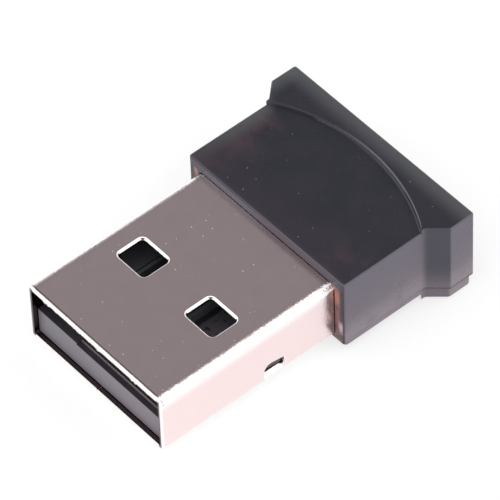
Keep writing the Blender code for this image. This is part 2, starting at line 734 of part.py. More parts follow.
def make_antenna():
    """The antenna: a copper trace that winds along the board's back, into its right ear."""
    outline = cap_outline(BOARD_MARGIN)
    right = outline[4].x - ANTENNA_TRACE
    left = RADIO_RIGHT + PART_GAP + ANTENNA_TRACE
    pitch = (right - left) / (2 * ANTENNA_TEETH - 1)
    path = []
    for tooth in range(2 * ANTENNA_TEETH):
        x = left + tooth * pitch
        levels = (ANTENNA_BACK, ANTENNA_FRONT)
        first, second = levels if tooth % 2 else levels[::-1]
        path += vectors(((x, first), (x, second)))
    top = PART_FLOOR + ANTENNA_COPPER
    extruded("antenna_trace", ribbon(path, ANTENNA_TRACE), PART_FLOOR, top, "copper")


def make_board_parts():
    """What is soldered on the board: the radio chip fills the room that the rest leave between them."""
    half_small = SMALL_PART_WIDTH / 2
    radio_size = (RADIO_RIGHT - RADIO_LEFT, RADIO_LENGTH, RADIO_HEIGHT)
    radio_x, radio_y = (RADIO_LEFT + RADIO_RIGHT) / 2, PARTS_FRONT + RADIO_LENGTH / 2
    board_part("radio_chip", radio_size, radio_x, radio_y, "chip_plastic")
    near_left = RADIO_LEFT - PART_GAP - half_small
    near_right = RADIO_RIGHT + PART_GAP + half_small
    memory_x = near_left - half_small - PART_GAP - MEMORY_WIDTH / 2
    crystal_x = near_right + half_small + PART_GAP + CRYSTAL_WIDTH / 2
    far_right = crystal_x + CRYSTAL_WIDTH / 2 + PART_GAP + half_small
    middle = (FRONT_POST + REAR_POST) / 2
    memory_size = (MEMORY_WIDTH, MEMORY_LENGTH, MEMORY_HEIGHT)
    board_part("memory_chip", memory_size, memory_x, middle, "chip_plastic")
    make_crystal(crystal_x, middle)
    ceramic, black = "ceramic", "resistor_black"
    left_names = (("capacitor_1", ceramic), ("capacitor_2", ceramic), ("resistor_1", black))
    right_names = (("capacitor_3", ceramic), ("capacitor_4", ceramic), ("capacitor_5", ceramic))
    far_names = (("resistor_2", black), ("capacitor_6", ceramic))
    make_small_parts(near_left, left_names)
    make_small_parts(near_right, right_names)
    make_small_parts(far_right, far_names)
    ear_half = cap_outline(BOARD_MARGIN)[4].x
    led_x = -(ear_half - PART_GAP - LED_LENGTH / 2)
    rear_row = BOARD_BACK - PART_GAP - LED_WIDTH / 2
    board_part("indicator_led", (LED_LENGTH, LED_WIDTH, LED_HEIGHT), led_x, rear_row, "led_lens")
    coil_x = led_x + LED_LENGTH / 2 + 2 * PART_GAP + COIL_LENGTH / 2
    coil_y = BOARD_BACK - PART_GAP - COIL_WIDTH / 2
    board_part("filter_coil", (COIL_LENGTH, COIL_WIDTH, COIL_HEIGHT), coil_x, coil_y, ceramic)


def make_plug_frame():
    """The empty that every piece hangs from, set so that the part's origin is under its middle."""
    frame = bpy.data.objects.new("plug_frame", None)
    frame.location = (0, -BACK / 2, -BAND_UNDER)
    bpy.context.scene.collection.objects.link(frame)


def main():
    clear_scene()
    make_collection("usb_wireless_adapter")
    make_collection("cutters")
    make_plug_frame()
    make_usb_shell()
    make_contact_carrier()
    make_contacts()
    make_circuit_board()
    make_board_parts()
    make_antenna()
    make_solder()
    make_upper_housing()
    make_lower_cover()
    bpy.context.view_layer.update()


main()
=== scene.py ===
# %% [markdown]
# # A nano USB wireless adapter
#
# This lesson dresses a small adapter: a folded steel plug with a black tongue, held in a short
# T-shaped cap of smoke-grey plastic. The exact solids come first, as a fixed frame, and every piece
# that is made here stands where one of those solids stands.

# %% Load the solids and note their size
import math

import bmesh
import bpy
from mathutils import Matrix, Vector
from mathutils import noise as noise_field
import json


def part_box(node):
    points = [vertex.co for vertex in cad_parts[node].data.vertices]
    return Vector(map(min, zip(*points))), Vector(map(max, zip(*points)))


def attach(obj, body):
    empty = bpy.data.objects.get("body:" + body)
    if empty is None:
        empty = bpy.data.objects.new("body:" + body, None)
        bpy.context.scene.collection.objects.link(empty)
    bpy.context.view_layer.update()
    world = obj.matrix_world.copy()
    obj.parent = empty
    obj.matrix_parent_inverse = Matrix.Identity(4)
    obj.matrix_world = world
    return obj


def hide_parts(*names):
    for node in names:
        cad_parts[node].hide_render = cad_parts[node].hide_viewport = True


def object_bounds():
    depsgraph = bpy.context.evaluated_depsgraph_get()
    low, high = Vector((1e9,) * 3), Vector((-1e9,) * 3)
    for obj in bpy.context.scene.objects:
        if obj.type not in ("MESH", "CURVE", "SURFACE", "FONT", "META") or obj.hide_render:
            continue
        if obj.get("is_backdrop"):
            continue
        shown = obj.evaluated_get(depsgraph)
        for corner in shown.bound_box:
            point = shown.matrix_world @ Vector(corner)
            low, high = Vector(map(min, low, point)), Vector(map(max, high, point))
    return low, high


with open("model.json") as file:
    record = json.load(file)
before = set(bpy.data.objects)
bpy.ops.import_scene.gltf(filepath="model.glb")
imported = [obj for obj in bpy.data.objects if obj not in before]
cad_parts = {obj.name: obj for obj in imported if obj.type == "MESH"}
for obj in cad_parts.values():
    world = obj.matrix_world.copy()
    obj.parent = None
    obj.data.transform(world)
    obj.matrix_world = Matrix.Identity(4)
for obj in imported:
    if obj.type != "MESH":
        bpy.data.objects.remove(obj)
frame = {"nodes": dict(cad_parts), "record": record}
solid_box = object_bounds()
print(len(frame["nodes"]), "solids, from", solid_box[0][:], "to", solid_box[1][:])

# %% [markdown]
# The pieces are drawn in millimetres on the plug's own frame: the origin is the middle of its mouth,
# level with the shell's underside, and Y runs back into the cap. That keeps the small roundings well
# above the modelling tools' tolerances.

# %% The plug's frame and the main sizes
MM = 0.001
shell_low, shell_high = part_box("usb_shell")
plug_origin = Vector((0, shell_low.y, shell_low.z))


def span(node):
    """A solid's lowest and highest corner in millimetres on the plug's frame."""
    return [(corner - plug_origin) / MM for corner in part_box(node)]


shell_width = (shell_high.x - shell_low.x) / MM
shell_height = (shell_high.z - shell_low.z) / MM
cap_front, cap_back = (end.y for end in span("upper_housing"))
seam_level, band_top = (end.z for end in span("upper_housing"))
ear_half = span("upper_housing")[1].x
cover_floor = span("lower_cover")[0].z
print(f"shell {shell_width:.2f} x {shell_height:.2f} mm, cap from {cap_front:.2f} to {cap_back:.2f} mm")

# %% [markdown]
# Every piece ends the same way: shaded smooth, with normals weighted by face area, so that a large
# flat face stays flat right up to its rounded edge.

# %% Helpers that finish a piece


def placed(name, data):
    """A new object that holds a mesh, a curve or a camera."""
    piece = bpy.data.objects.new(name, data)
    bpy.context.scene.collection.objects.link(piece)
    return piece


def plain_mesh(name, source):
    """The evaluated mesh of an object, as a plain object in its place."""
    graph = bpy.context.evaluated_depsgraph_get()
    mesh = bpy.data.meshes.new_from_object(source.evaluated_get(graph))
    bpy.data.objects.remove(source)
    mesh.name = name
    return placed(name, mesh)


def opened(piece):
    """A piece's mesh, opened for editing."""
    work = bmesh.new()
    work.from_mesh(piece.data)
    return work


def from_bmesh(name, work):
    mesh = bpy.data.meshes.new(name)
    work.to_mesh(mesh)
    work.free()
    return placed(name, mesh)


def seat(piece, slot, *solids, sharp_angle=50):
    """Shades a piece and carries it from the plug's millimetres to the place of its solids."""
    piece.data.shade_smooth()
    piece.data.set_sharp_from_angle(angle=math.radians(sharp_angle))
    weigh = piece.modifiers.new("weigh_normals", "WEIGHTED_NORMAL")
    weigh.keep_sharp = True
    weigh.weight = 80
    piece = plain_mesh(piece.name, piece)
    piece.data.transform(Matrix.Translation(plug_origin) @ Matrix.Scale(MM, 4))
    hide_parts(*solids)
    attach(piece, "root")
    print(f"{piece.name}: {len(piece.data.polygons)} faces for {', '.join(solids)}")


# %% [markdown]
# Node trees, for shapes and for finishes alike, are mostly arithmetic. Writing each Math node by hand
# would hide the idea, so this class lets a tree's numbers be added and multiplied like ordinary ones.

# %% Arithmetic inside a node tree


class Reading:
    """What a node's output gives, in the tree that owns the node."""

    def __init__(self, socket):
        self.tree = socket.id_data
        self.socket = socket

    def work(self, operation, *others):
        node = self.tree.nodes.new("ShaderNodeMath")
        node.operation = operation
        for socket, value in zip(node.inputs, (self, *others)):
            join(value, socket)
        return Reading(node.outputs[0])

    def __add__(self, other):
        return self.work("ADD", other)

    def __sub__(self, other):
        return self.work("SUBTRACT", other)

    def __rsub__(self, other):
        return (self * -1) + other

    def __mul__(self, other):
        return self.work("MULTIPLY", other)

    def __truediv__(self, other):
        return self.work("DIVIDE", other)

    def __abs__(self):
        return self.work("ABSOLUTE")

    __radd__ = __add__
    __rmul__ = __mul__

    def at_least(self, low):
        return self.work("MAXIMUM", low)

    def held(self, low, high):
        """The number kept between two limits."""
        return self.at_least(low).work("MINIMUM", high)

    def fade(self, start, end):
        """0 at the start and 1 at the end, with a smooth run between them."""
        node = add_node(self.tree, "ShaderNodeMapRange", {"interpolation_type": "SMOOTHSTEP"})
        # A run that falls is turned round, because the smooth step only rises
        fill(node, Value=self, From_Min=min(start, end), From_Max=max(start, end))
        fill(node, To_Min=float(start > end), To_Max=float(start < end))
        return Reading(node.outputs["Result"])

    def between(self, start, full, wane, end):
        """1 between the two middle numbers and 0 outside the outer two, with smooth runs."""
        return self.fade(start, full) * self.fade(end, wane)


def join(value, socket):
    """Links a reading or a node's output to an input, or gives the input a plain value."""
    if isinstance(value, Reading):
        value = value.socket
    if isinstance(value, bpy.types.NodeSocket):
        socket.id_data.links.new(value, socket)
    else:
        socket.default_value = value


def fill(node, **inputs):
    """Joins a value to each input. An input's name has its spaces written as underscores."""
    for name, value in inputs.items():
        join(value, node.inputs[name.replace("_", " ")])


def add_node(tree, kind, settings=None, **inputs):
    """A node with its settings and its inputs."""
    node = tree.nodes.new(kind)
    for name, value in (settings or {}).items():
        setattr(node, name, value)
    fill(node, **inputs)
    return node


def parts_of(vector):
    """The three numbers of a vector."""
    split = add_node(vector.tree, "ShaderNodeSeparateXYZ", Vector=vector)
    return [Reading(output) for output in split.outputs]


# %% [markdown]
# ## The plug's shell
#
# On the real plug this is one strip of nickel-plated sheet, 0.3 mm thick. A press cuts it flat, with
# its windows, latch openings, legs and dovetailed ends, and then folds it round a core until the ends
# meet underneath. Boolean cuts in a finished tube would leave raw edges, so the strip is made as the
# factory makes it: a flat 2D curve with holes, which rounds every edge for free, then the punched
# windows, and then a fold in Geometry Nodes, because the folded shape follows a rule.

# %% The flat pattern's sizes
SHEET, BEND = 0.3, 0.5
EDGE_ROUND = 0.055
MOUTH_TURN, MOUTH_LENGTH, MOUTH_STEPS = 0.06, 0.15, 4
LEG_LENGTH, LEG_LOW, LEG_HIGH = 1.0, 0.83, 2.0
SEAM_GAP = 0.03
DOVETAILS = ((3.0, 0.9), (8.2, -0.9))
DOVETAIL_LENGTH, DOVETAIL_FLARE = 1.3, 0.2
WINDOW_WIDTH, WINDOW_LENGTH, WINDOW_CORNER = 2.39, 1.94, 0.28
WINDOW_SETBACK, WINDOW_FROM_MIDDLE = 5.31, 1.85
LATCH_SETBACK, LATCH_LENGTH = 7.64, 1.55
LATCH_LOW, LATCH_TOP, LATCH_FALL = 0.15, 1.55, 0.3
LATCH_ROUNDS = (0.05, 0.5, 0.05, 0.05)

floor_half = shell_width / 2 - BEND
fold = BEND * math.pi / 2
side = shell_height - 2 * BEND
round_trip = 4 * floor_half + 4 * fold + 2 * side
shell_end = (shell_high.y - shell_low.y) / MM - LEG_LENGTH
print(f"the strip is {round_trip:.2f} mm wide and {shell_end:.2f} mm long")

# %% Outline helpers
WELD = 0.0005
FLAT_ANGLE = math.radians(0.5)


def rounded(points, radii, steps=6):
    """A closed outline with each corner turned into an arc of its own radius."""
    outline = []
    for index, (corner, radius) in enumerate(zip(points, radii)):
        if radius <= 0:
            outline.append(corner)
            continue
        before = (points[index - 1] - corner).normalized()
        after = (points[(index + 1) % len(points)] - corner).normalized()
        half = before.angle(after) / 2
        centre = corner + (before + after).normalized() * radius / math.sin(half)
        spoke = corner + before * radius / math.tan(half) - centre
        turn = math.copysign(math.pi - 2 * half, (-before).cross(after))
        for step in range(steps + 1):
            outline.append(centre + Matrix.Rotation(turn * step / steps, 2) @ spoke)
    return outline


def rectangle(left, right, low, high):
    return [Vector(point) for point in ((left, low), (right, low), (right, high), (left, high))]


def beside(path, distance):
    """A path moved sideways to its left by a distance, with mitred corners."""
    normals = []
    for start, end in zip(path, path[1:]):
        along = (end - start).normalized()
        normals.append(Vector((-along.y, along.x)))
    offsets = [normals[0]]
    for first, second in zip(normals, normals[1:]):
        offsets.append((first + second) / (1 + first.dot(second)))
    offsets.append(normals[-1])
    return [point + offset * distance for point, offset in zip(path, offsets)]


def cut_sheet(name, outlines):
    """A flat plate from one outline and its holes, with every edge rounded a little."""
    curve = bpy.data.curves.new(name, "CURVE")
    curve.dimensions = "2D"
    curve.fill_mode = "BOTH"
    curve.extrude = SHEET / 2 - EDGE_ROUND
    curve.bevel_depth = EDGE_ROUND
    curve.bevel_resolution = 1
    curve.offset = -EDGE_ROUND
    for outline in outlines:
        spline = curve.splines.new("POLY")
        spline.points.add(len(outline) - 1)
        for point, (x, y) in zip(spline.points, outline):
            point.co = (x, y, 0, 1)
        spline.use_cyclic_u = True
    plate = plain_mesh(name, placed(name, curve))
    work = opened(plate)
    bmesh.ops.remove_doubles(work, verts=work.verts, dist=WELD)
    bmesh.ops.dissolve_limit(work, angle_limit=FLAT_ANGLE, verts=work.verts, edges=work.edges)
    bmesh.ops.recalc_face_normals(work, faces=work.faces)
    work.to_mesh(plate.data)
    work.free()
    return plate


# %% Cut the strip, with its latch openings, legs and dovetailed ends
seam = [Vector((0, 0))]
for near, reach in DOVETAILS:
    far = near + DOVETAIL_LENGTH
    tail = ((0, near), (reach, near - DOVETAIL_FLARE), (reach, far + DOVETAIL_FLARE), (0, far))
    seam += [Vector(point) for point in tail]
seam.append(Vector((0, shell_end)))

first_end = beside(seam, -SEAM_GAP / 2)
second_end = [point + Vector((round_trip, 0)) for point in beside(seam, SEAM_GAP / 2)]
leg_start = floor_half + fold + LEG_LOW - BEND
leg_end = floor_half + fold + LEG_HIGH - BEND
leg_back = shell_end + LEG_LENGTH
back_edge = []
for low, high in ((round_trip - leg_end, round_trip - leg_start), (leg_start, leg_end)):
    leg = ((high, shell_end), (high, leg_back), (low, leg_back), (low, shell_end))
    back_edge += [Vector(point) for point in leg]
strip = second_end + back_edge + first_end[::-1]


def up_the_side(height):
    """How far round the strip a height on the folded side is."""
    if height < BEND:
        return floor_half + BEND * math.acos(1 - height / BEND)
    return floor_half + fold + height - BEND


latch_back = LATCH_SETBACK + LATCH_LENGTH
latch_corners = rectangle(up_the_side(LATCH_LOW), up_the_side(LATCH_TOP), LATCH_SETBACK, latch_back)
latch_corners[2].x -= LATCH_FALL
latches = [rounded(latch_corners, LATCH_ROUNDS)]
latches.append([Vector((round_trip - u, v)) for u, v in reversed(latches[0])])
shell = cut_sheet("plug_shell", [strip] + latches)
print(len(latches), "latch openings cut")

# %% [markdown]
# A blunt punch makes the windows, and it draws the sheet in round them before it breaks through. That
# leaves a slanted rim, which is why they are ringed with light. A bevel would turn too evenly, so the
# punch itself is drawn: rows of a rounded outline, each with its spread and its depth, joined into a
# closed loft, which a Boolean then takes out of the flat plate.

# %% Punch the windows
PUNCH_ROWS = (
    (0.170, -0.012), (0.142, 0.005), (0.116, 0.018), (0.066, 0.060), (0.036, 0.094), (0.010, 0.138),
    (0.003, 0.160), (0.0, 0.180), (0.0, 0.255), (0.008, 0.280), (0.030, 0.310),
)
PUNCH_STEPS = 8


def loft(name, rings):
    """A closed body drawn through rings of points."""
    work = bmesh.new()
    drawn = [[work.verts.new(point) for point in ring] for ring in rings]
    work.faces.new(drawn[0])
    work.faces.new(drawn[-1])
    for upper, lower in zip(drawn, drawn[1:]):
        for index in range(len(upper)):
            work.faces.new((upper[index - 1], upper[index], lower[index], lower[index - 1]))
    bmesh.ops.recalc_face_normals(work, faces=work.faces)
    return from_bmesh(name, work)


def punch(name, corners):
    """A loft of one rounded outline, with each row's own spread and depth."""
    low, high = corners[0], corners[2]
    rings = []
    for spread, depth in PUNCH_ROWS:
        grown = rectangle(low.x - spread, high.x + spread, low.y - spread, high.y + spread)
        outline = rounded(grown, [WINDOW_CORNER + spread] * 4, PUNCH_STEPS)
        rings.append([(point.x, point.y, depth - SHEET / 2) for point in outline])
    return loft(name, rings)


def combined(piece, operation, *others):
    """A piece with other bodies joined on (UNION) or taken away (DIFFERENCE)."""
    for other in others:
        modifier = piece.modifiers.new(other.name, "BOOLEAN")
        modifier.operation = operation
        modifier.object = other
        modifier.solver = "EXACT"
    result = plain_mesh(piece.name, piece)
    for other in others:
        bpy.data.objects.remove(other)
    return result


punches = []
for middle in (0, round_trip / 2, round_trip):
    for sign in (-1, 1):
        inner_end = middle + sign * WINDOW_FROM_MIDDLE
        outer_end = middle + sign * (WINDOW_FROM_MIDDLE + WINDOW_WIDTH)
        left, right = sorted((inner_end, outer_end))
        if left >= 0 and right <= round_trip:
            window = rectangle(left, right, WINDOW_SETBACK, WINDOW_SETBACK + WINDOW_LENGTH)
            punches.append(punch(f"punch_{len(punches)}", window))
print(len(punches), "windows punched")
shell = combined(shell, "DIFFERENCE", *punches)

# %% [markdown]
# A fold needs edges to bend along, so the flat plate is first sliced across each bend, and across the
# mouth, where the real shell is turned in a little to lead into the port.

# %% Slice the plate where it will bend
FOLD_STEPS = 8
fold_lines = []
for start in (floor_half, floor_half + fold + side):
    for step in range(FOLD_STEPS + 1):
        line = start + fold * step / FOLD_STEPS
        fold_lines += [line, round_trip - line]
mouth_lines = [MOUTH_LENGTH * step / MOUTH_STEPS for step in range(1, MOUTH_STEPS + 1)]


def sliced(work, parts, axis, place):
    """Cuts a mesh's parts along a plane across an axis, and keeps both sides."""
    bmesh.ops.bisect_plane(work, geom=parts, plane_co=axis * place, plane_no=axis, dist=WELD)


ROUND_AXIS, LENGTH_AXIS = Vector((1, 0, 0)), Vector((0, 1, 0))
work = opened(shell)
for axis, places in ((ROUND_AXIS, fold_lines), (LENGTH_AXIS, mouth_lines)):
    for place in places:
        sliced(work, work.verts[:] + work.edges[:] + work.faces[:], axis, place)

# %% [markdown]
# The cut at the mouth left a burr: short thin flaps of metal hang down from the top sheet's inner edge.
# The plate gets close slices there, and noise pulls the points of its inner corner down. The noise
# follows the place alone, so the flaps are the same each time.

# %% Leave the burr at the mouth
BURR_SLICE, BURR_DEPTH, BURR_START = 0.07, 0.32, 0.3
# The corner that is pulled: points nearer to the mouth, and deeper in the sheet, than this
BURR_BACK, BURR_INNER = 0.04, 0.05
# Each noise: how often it varies in a millimetre, where it is read, and its share
BURR_NOISES = ((1.6, 3.7, 0.7), (6.0, 8.1, 0.4))
BURR_LEVEL, BURR_QUIET = 0.5, 0.03

burr_from, burr_to = round_trip / 2 - floor_half + BURR_START, round_trip / 2 + floor_half
for step in range(int((burr_to - burr_from) / BURR_SLICE)):
    lip = [face for face in work.faces if face.calc_center_median().y < mouth_lines[0]]
    lip_points = list(dict.fromkeys(vert for face in lip for vert in face.verts))
    lip_edges = list(dict.fromkeys(edge for face in lip for edge in face.edges))
    sliced(work, lip_points + lip_edges + lip, ROUND_AXIS, burr_from + step * BURR_SLICE)
for vert in work.verts:
    if vert.co.y < BURR_BACK and vert.co.z > BURR_INNER and burr_from < vert.co.x < burr_to:
        drop = -BURR_QUIET
        for often, row, share in BURR_NOISES:
            drop += share * noise_field.noise(Vector((vert.co.x * often, row, BURR_LEVEL)))
        vert.co.z += BURR_DEPTH * max(0, drop)
work.to_mesh(shell.data)
work.free()
print(len(shell.data.polygons), "faces to fold")

# %% [markdown]
# Two shapes are made by Geometry Nodes. Their trees start alike, with a number input for each size,
# and end alike, in Realize Instances and Set Material. The result is kept as a plain mesh.

# %% Helpers for Geometry Nodes


def new_tree(name, sizes):
    """An empty Geometry Nodes tree with one number input for each size."""
    tree = bpy.data.node_groups.new(name, "GeometryNodeTree")
    inputs = [("Geometry", "Geometry")] + [(size, "Float") for size in sizes] + [("Finish", "Material")]
    for label, kind in inputs:
        tree.interface.new_socket(label, in_out="INPUT", socket_type=f"NodeSocket{kind}")
    tree.interface.new_socket("Geometry", in_out="OUTPUT", socket_type="NodeSocketGeometry")
    given = tree.nodes.new("NodeGroupInput")
    return tree, given, [Reading(given.outputs[size]) for size in sizes]


def close_tree(tree, given, geometry):
    """Ends a tree in Realize Instances and Set Material."""
    real = add_node(tree, "GeometryNodeRealizeInstances", Geometry=geometry)
    painted = add_node(tree, "GeometryNodeSetMaterial", Geometry=real.outputs[0])
    fill(painted, Material=given.outputs["Finish"])
    fill(tree.nodes.new("NodeGroupOutput"), Geometry=painted.outputs[0])


def run_tree(piece, tree, values):
    """Runs the tree on an object, and keeps the result as a plain mesh."""
    modifier = piece.modifiers.new(tree.name, "NODES")
    modifier.node_group = tree
    for item in tree.interface.items_tree:
        if item.in_out == "INPUT" and item.name in values:
            modifier[item.identifier] = values[item.name]
    return plain_mesh(piece.name, piece)


# %% [markdown]
# Going round from the seam, a point first lies on the floor, then turns through a bend, climbs the
# side, turns again and comes back along the top. The tree measures how far each point has come, turns
# that into a place and a direction, and mirrors the far half. A depth below the outer face is kept
# all the way round, so the sheet keeps its thickness.

# %% Fold the plate with Geometry Nodes
FOLD_SIZES = {
    "Width": shell_width, "Height": shell_height, "Bend": BEND, "Sheet": SHEET,
    "Mouth Turn": MOUTH_TURN, "Mouth Length": MOUTH_LENGTH,
}
fold_tree, given, readings = new_tree("fold_the_strip", FOLD_SIZES)
width, height, bend, sheet, turn, lead = readings
position = add_node(fold_tree, "GeometryNodeInputPosition").outputs[0]
along, back, depth = parts_of(Reading(position))

tree_floor = width / 2 - bend
tree_fold = bend * (math.pi / 2)
tree_side = height - bend * 2
half_trip = tree_floor * 2 + tree_fold * 2 + tree_side
from_top = along - half_trip
sign = from_top.work("SIGN") * -1
trip = half_trip - abs(from_top)
first_turn = ((trip - tree_floor) / tree_fold).held(0, 1) * (math.pi / 2)
climb = (trip - tree_floor - tree_fold).held(0, tree_side)
second_turn = ((trip - tree_floor - tree_fold - tree_side) / tree_fold).held(0, 1) * (math.pi / 2)
return_run = (trip - tree_floor - tree_fold * 2 - tree_side).at_least(0)
across = (
    trip.work("MINIMUM", tree_floor)
    + bend * first_turn.work("SINE")
    - bend * (1 - second_turn.work("COSINE"))
    - return_run
)
up = bend * (1 - first_turn.work("COSINE")) + climb + bend * second_turn.work("SINE")
tilt = first_turn + second_turn
lead_share = (1 - back / lead).held(0, 1)
proud = turn * lead_share * lead_share * -1 - depth - sheet / 2
folded = add_node(
    fold_tree,
    "ShaderNodeCombineXYZ",
    X=(across + tilt.work("SINE") * proud) * sign,
    Y=back,
    Z=up - tilt.work("COSINE") * proud,
)
moved = add_node(fold_tree, "GeometryNodeSetPosition", Geometry=given.outputs["Geometry"])
fill(moved, Position=folded.outputs[0])
close_tree(fold_tree, given, moved.outputs[0])

# %% [markdown]
# ## Finishes
#
# A finish reads a point's place in the plug's millimetres, so that grain, dust and tints have their
# real size and stay where they are on the part. Colours are laid over each other like thin coats,
# each through a mask.

# %% Helpers that every finish uses


def new_finish(name):
    """A material, its Principled shader, and a point's place as a vector and as three numbers."""
    material = bpy.data.materials.new(name)
    material.use_nodes = True
    tree = material.node_tree
    coordinates = add_node(tree, "ShaderNodeTexCoord")
    moved = add_node(tree, "ShaderNodeVectorMath", {"operation": "SUBTRACT"})
    join(coordinates.outputs["Object"], moved.inputs[0])
    join(plug_origin, moved.inputs[1])
    scaled = add_node(tree, "ShaderNodeVectorMath", {"operation": "SCALE"}, Scale=1 / MM)
    join(moved.outputs[0], scaled.inputs[0])
    where = Reading(scaled.outputs[0])
    return material, tree.nodes["Principled BSDF"], where, parts_of(where)


def noise(where, per_mm, detail=3.0, roughness=0.5):
    """Cloudy noise with so many spots to the millimetre."""
    node = add_node(where.tree, "ShaderNodeTexNoise", Vector=where, Scale=per_mm, Detail=detail)
    fill(node, Roughness=roughness)
    return Reading(node.outputs["Fac"])


def coats(paint, *layers):
    """A colour with others laid over it, each through its mask."""
    for mask, colour in layers:
        node = add_node(mask.tree, "ShaderNodeMix", {"data_type": "RGBA"}, Factor=mask)
        for socket, tone in ((node.inputs[6], paint), (node.inputs[7], colour)):
            join((*tone, 1) if isinstance(tone, tuple) else tone, socket)
        paint = node.outputs[2]
    return paint


def bumped(shader, height, depth):
    """Bump of a depth in millimetres."""
    bump = add_node(height.tree, "ShaderNodeBump", Height=height, Distance=depth * MM, Strength=1.0)
    fill(shader, Normal=bump.outputs[0])


def facing(where):
    """Which way the surface looks, as three numbers."""
    return parts_of(Reading(add_node(where.tree, "ShaderNodeNewGeometry").outputs["Normal"]))


def dust(where, per_mm, size, share):
    """1 inside a few scattered specks of dust on the faces that look up, and 0 elsewhere."""
    cells = add_node(where.tree, "ShaderNodeTexVoronoi", {"voronoi_dimensions": "2D"}, Vector=where)
    fill(cells, Scale=per_mm, Randomness=1.0)
    split = add_node(where.tree, "ShaderNodeSeparateColor", Color=cells.outputs["Color"])
    chance, breadth = (Reading(output) for output in split.outputs[:2])
    reach = size * per_mm
    near = Reading(cells.outputs["Distance"]) / (breadth + 0.4) + noise(where, 14.0, 2.0) * reach
    upward = facing(where)[2].fade(0.8, 0.95)
    return near.fade(reach * 1.6, reach) * chance.fade(1 - share, 1.01 - share) * upward


# %% [markdown]
# ** Nickel plate.** The plating is bright but satin: it mirrors the room softly, with a faint
# cloudiness. The flat sides are painted pinker than the top, as a painted reflection, and the turned
# edges are painted nearly white, as a painted highlight.

# %% Nickel plate: the plating
nickel, shader, where, (x, y, z) = new_finish("nickel_plating")
normal_x, normal_y, normal_z = facing(where)
outwards_x = abs(x)
sideways = abs(normal_x)
cloud = noise(where, 0.9)
streak = noise(where, 6.0, 4.0, 0.6)
HIGHLIGHT_WHITE = (0.98, 0.95, 0.94)
plating = coats(
    (0.94, 0.87, 0.86),
    (cloud.fade(0.3, 0.7), (0.96, 0.89, 0.88)),
    (streak.fade(0.35, 0.75) * 0.25, (0.91, 0.84, 0.84)),
    # Painted highlight: faces that do not look up, the turned edges above all, are painted nearly
    # white.
    (normal_z.fade(0.97, 0.90), HIGHLIGHT_WHITE),
    # Painted reflection: the flat sides below the top fold are painted pinker than the top.
    (sideways.fade(0.8, 0.98) * z.fade(4.15, 3.45), (0.92, 0.76, 0.76)),
)

# %% [markdown]
# The sheet's inner face is painted dark brown, as painted shade inside the shell, and the inner part
# of the cut faces at the sides of the mouth is darkened too. A dark line is painted just behind the
# rim of the mouth. A point's depth below the shell's outer faces tells whether it is inside. The cut
# faces at the mouth and in the latch openings are bright.

# %% Nickel plate: painted shade on the inner face
DARK_BROWN = (0.10, 0.075, 0.080)
from_middle = abs(z - shell_height / 2) - shell_height / 2
below_face = (outwards_x - shell_width / 2).at_least(from_middle)
at_mouth = normal_y.fade(-0.3, -0.6) * y.fade(0.3, 0.2)
at_latch = y.between(7.55, 7.62, 9.22, 9.30) * z.fade(0.90, 0.80) * outwards_x.fade(5.3, 5.4)
# Painted shade: the inner face, deeper in the sheet than its outer faces, is painted dark brown.
inside = below_face.fade(-0.20, -0.28) * (1 - at_mouth) * (1 - at_latch)
# The inner part of the cut faces at the sides of the mouth is darkened as well.
side_rims = at_mouth * outwards_x.fade(5.5, 5.6) * below_face.fade(-0.17, -0.22)
# A dark line is painted just behind the rim of the mouth.
behind_rim = y.between(0.12, 0.15, 0.18, 0.21) * z.fade(3.95, 4.2)
behind_rim = behind_rim * (streak.fade(0.3, 0.5) * 0.4 + 0.4)
for mask in ((inside + side_rims).held(0, 1), behind_rim):
    plating = coats(plating, (mask, DARK_BROWN))

# %% [markdown]
# Round the windows the punch tore the plating in the corners, and the shade in those corners and in
# the break below the rim is painted dark. The flaps of the burr face down and are painted in shade.
# Just in front of the cap, a reflection of the cap's reddish plastic is painted on the top, and the
# sides have dark speckles that grow denser towards the cap.

# %% Nickel plate: painted shade, a painted reflection and dark speckles
window_x = WINDOW_FROM_MIDDLE + WINDOW_WIDTH / 2
window_y = WINDOW_SETBACK + WINDOW_LENGTH / 2
past_side = abs(outwards_x - window_x) - WINDOW_WIDTH / 2
past_end = abs(y - window_y) - WINDOW_LENGTH / 2
# Painted shade in the windows' corners and in the break below their rim.
window_shade = below_face.fade(-0.02, -0.05)
for past in (past_side, past_end):
    window_shade = window_shade * past.between(-0.20, -0.08, 0.14, 0.20)
in_window = past_side.fade(0.05, 0.02) * past_end.fade(0.05, 0.02)
window_shade = window_shade.at_least(in_window * below_face.fade(-0.12, -0.16))

sheet_under = shell_height - SHEET
# Painted shade on the flaps of the burr, which face down.
flap = y.fade(0.2, 0.1) * outwards_x.fade(5.6, 5.5)
flap = flap * z.between(3.2, 3.5, sheet_under - 0.03, sheet_under + 0.03)

from_cap = cap_front - y
glow_line = from_cap.fade(0.55, 0.05) * normal_z.fade(0.9, 0.98) * x.fade(-2.5, 1.0)
# Dark speckles on the sides, denser towards the cap.
dark_speckles = noise(where, 9.0, 3.0, 0.7).fade(0.48, 0.60)
near_cap = from_cap.fade(0.9, 0.1) * sideways.fade(0.5, 0.9)
plating = coats(
    plating,
    (window_shade, (0.10, 0.09, 0.09)),
    (flap * streak.fade(0.52, 0.42), DARK_BROWN),
    (glow_line * 0.55, (0.62, 0.42, 0.42)),
    (near_cap * dark_speckles, (0.40, 0.32, 0.30)),
)

# %% [markdown]
# Along the right fold and the near rims of the windows a matt white highlight is painted, with a
# ragged edge on the fold. The distance past a window's rounded outline sets its rim out.

# %% Nickel plate: painted highlights, dust and grain
at_fold = outwards_x.fade(floor_half - 0.22, floor_half + 0.05) * sideways.fade(0.98, 0.90)
ragged_x = outwards_x + (noise(where, 5.5, 3.0, 0.7) - 0.5) * 0.45
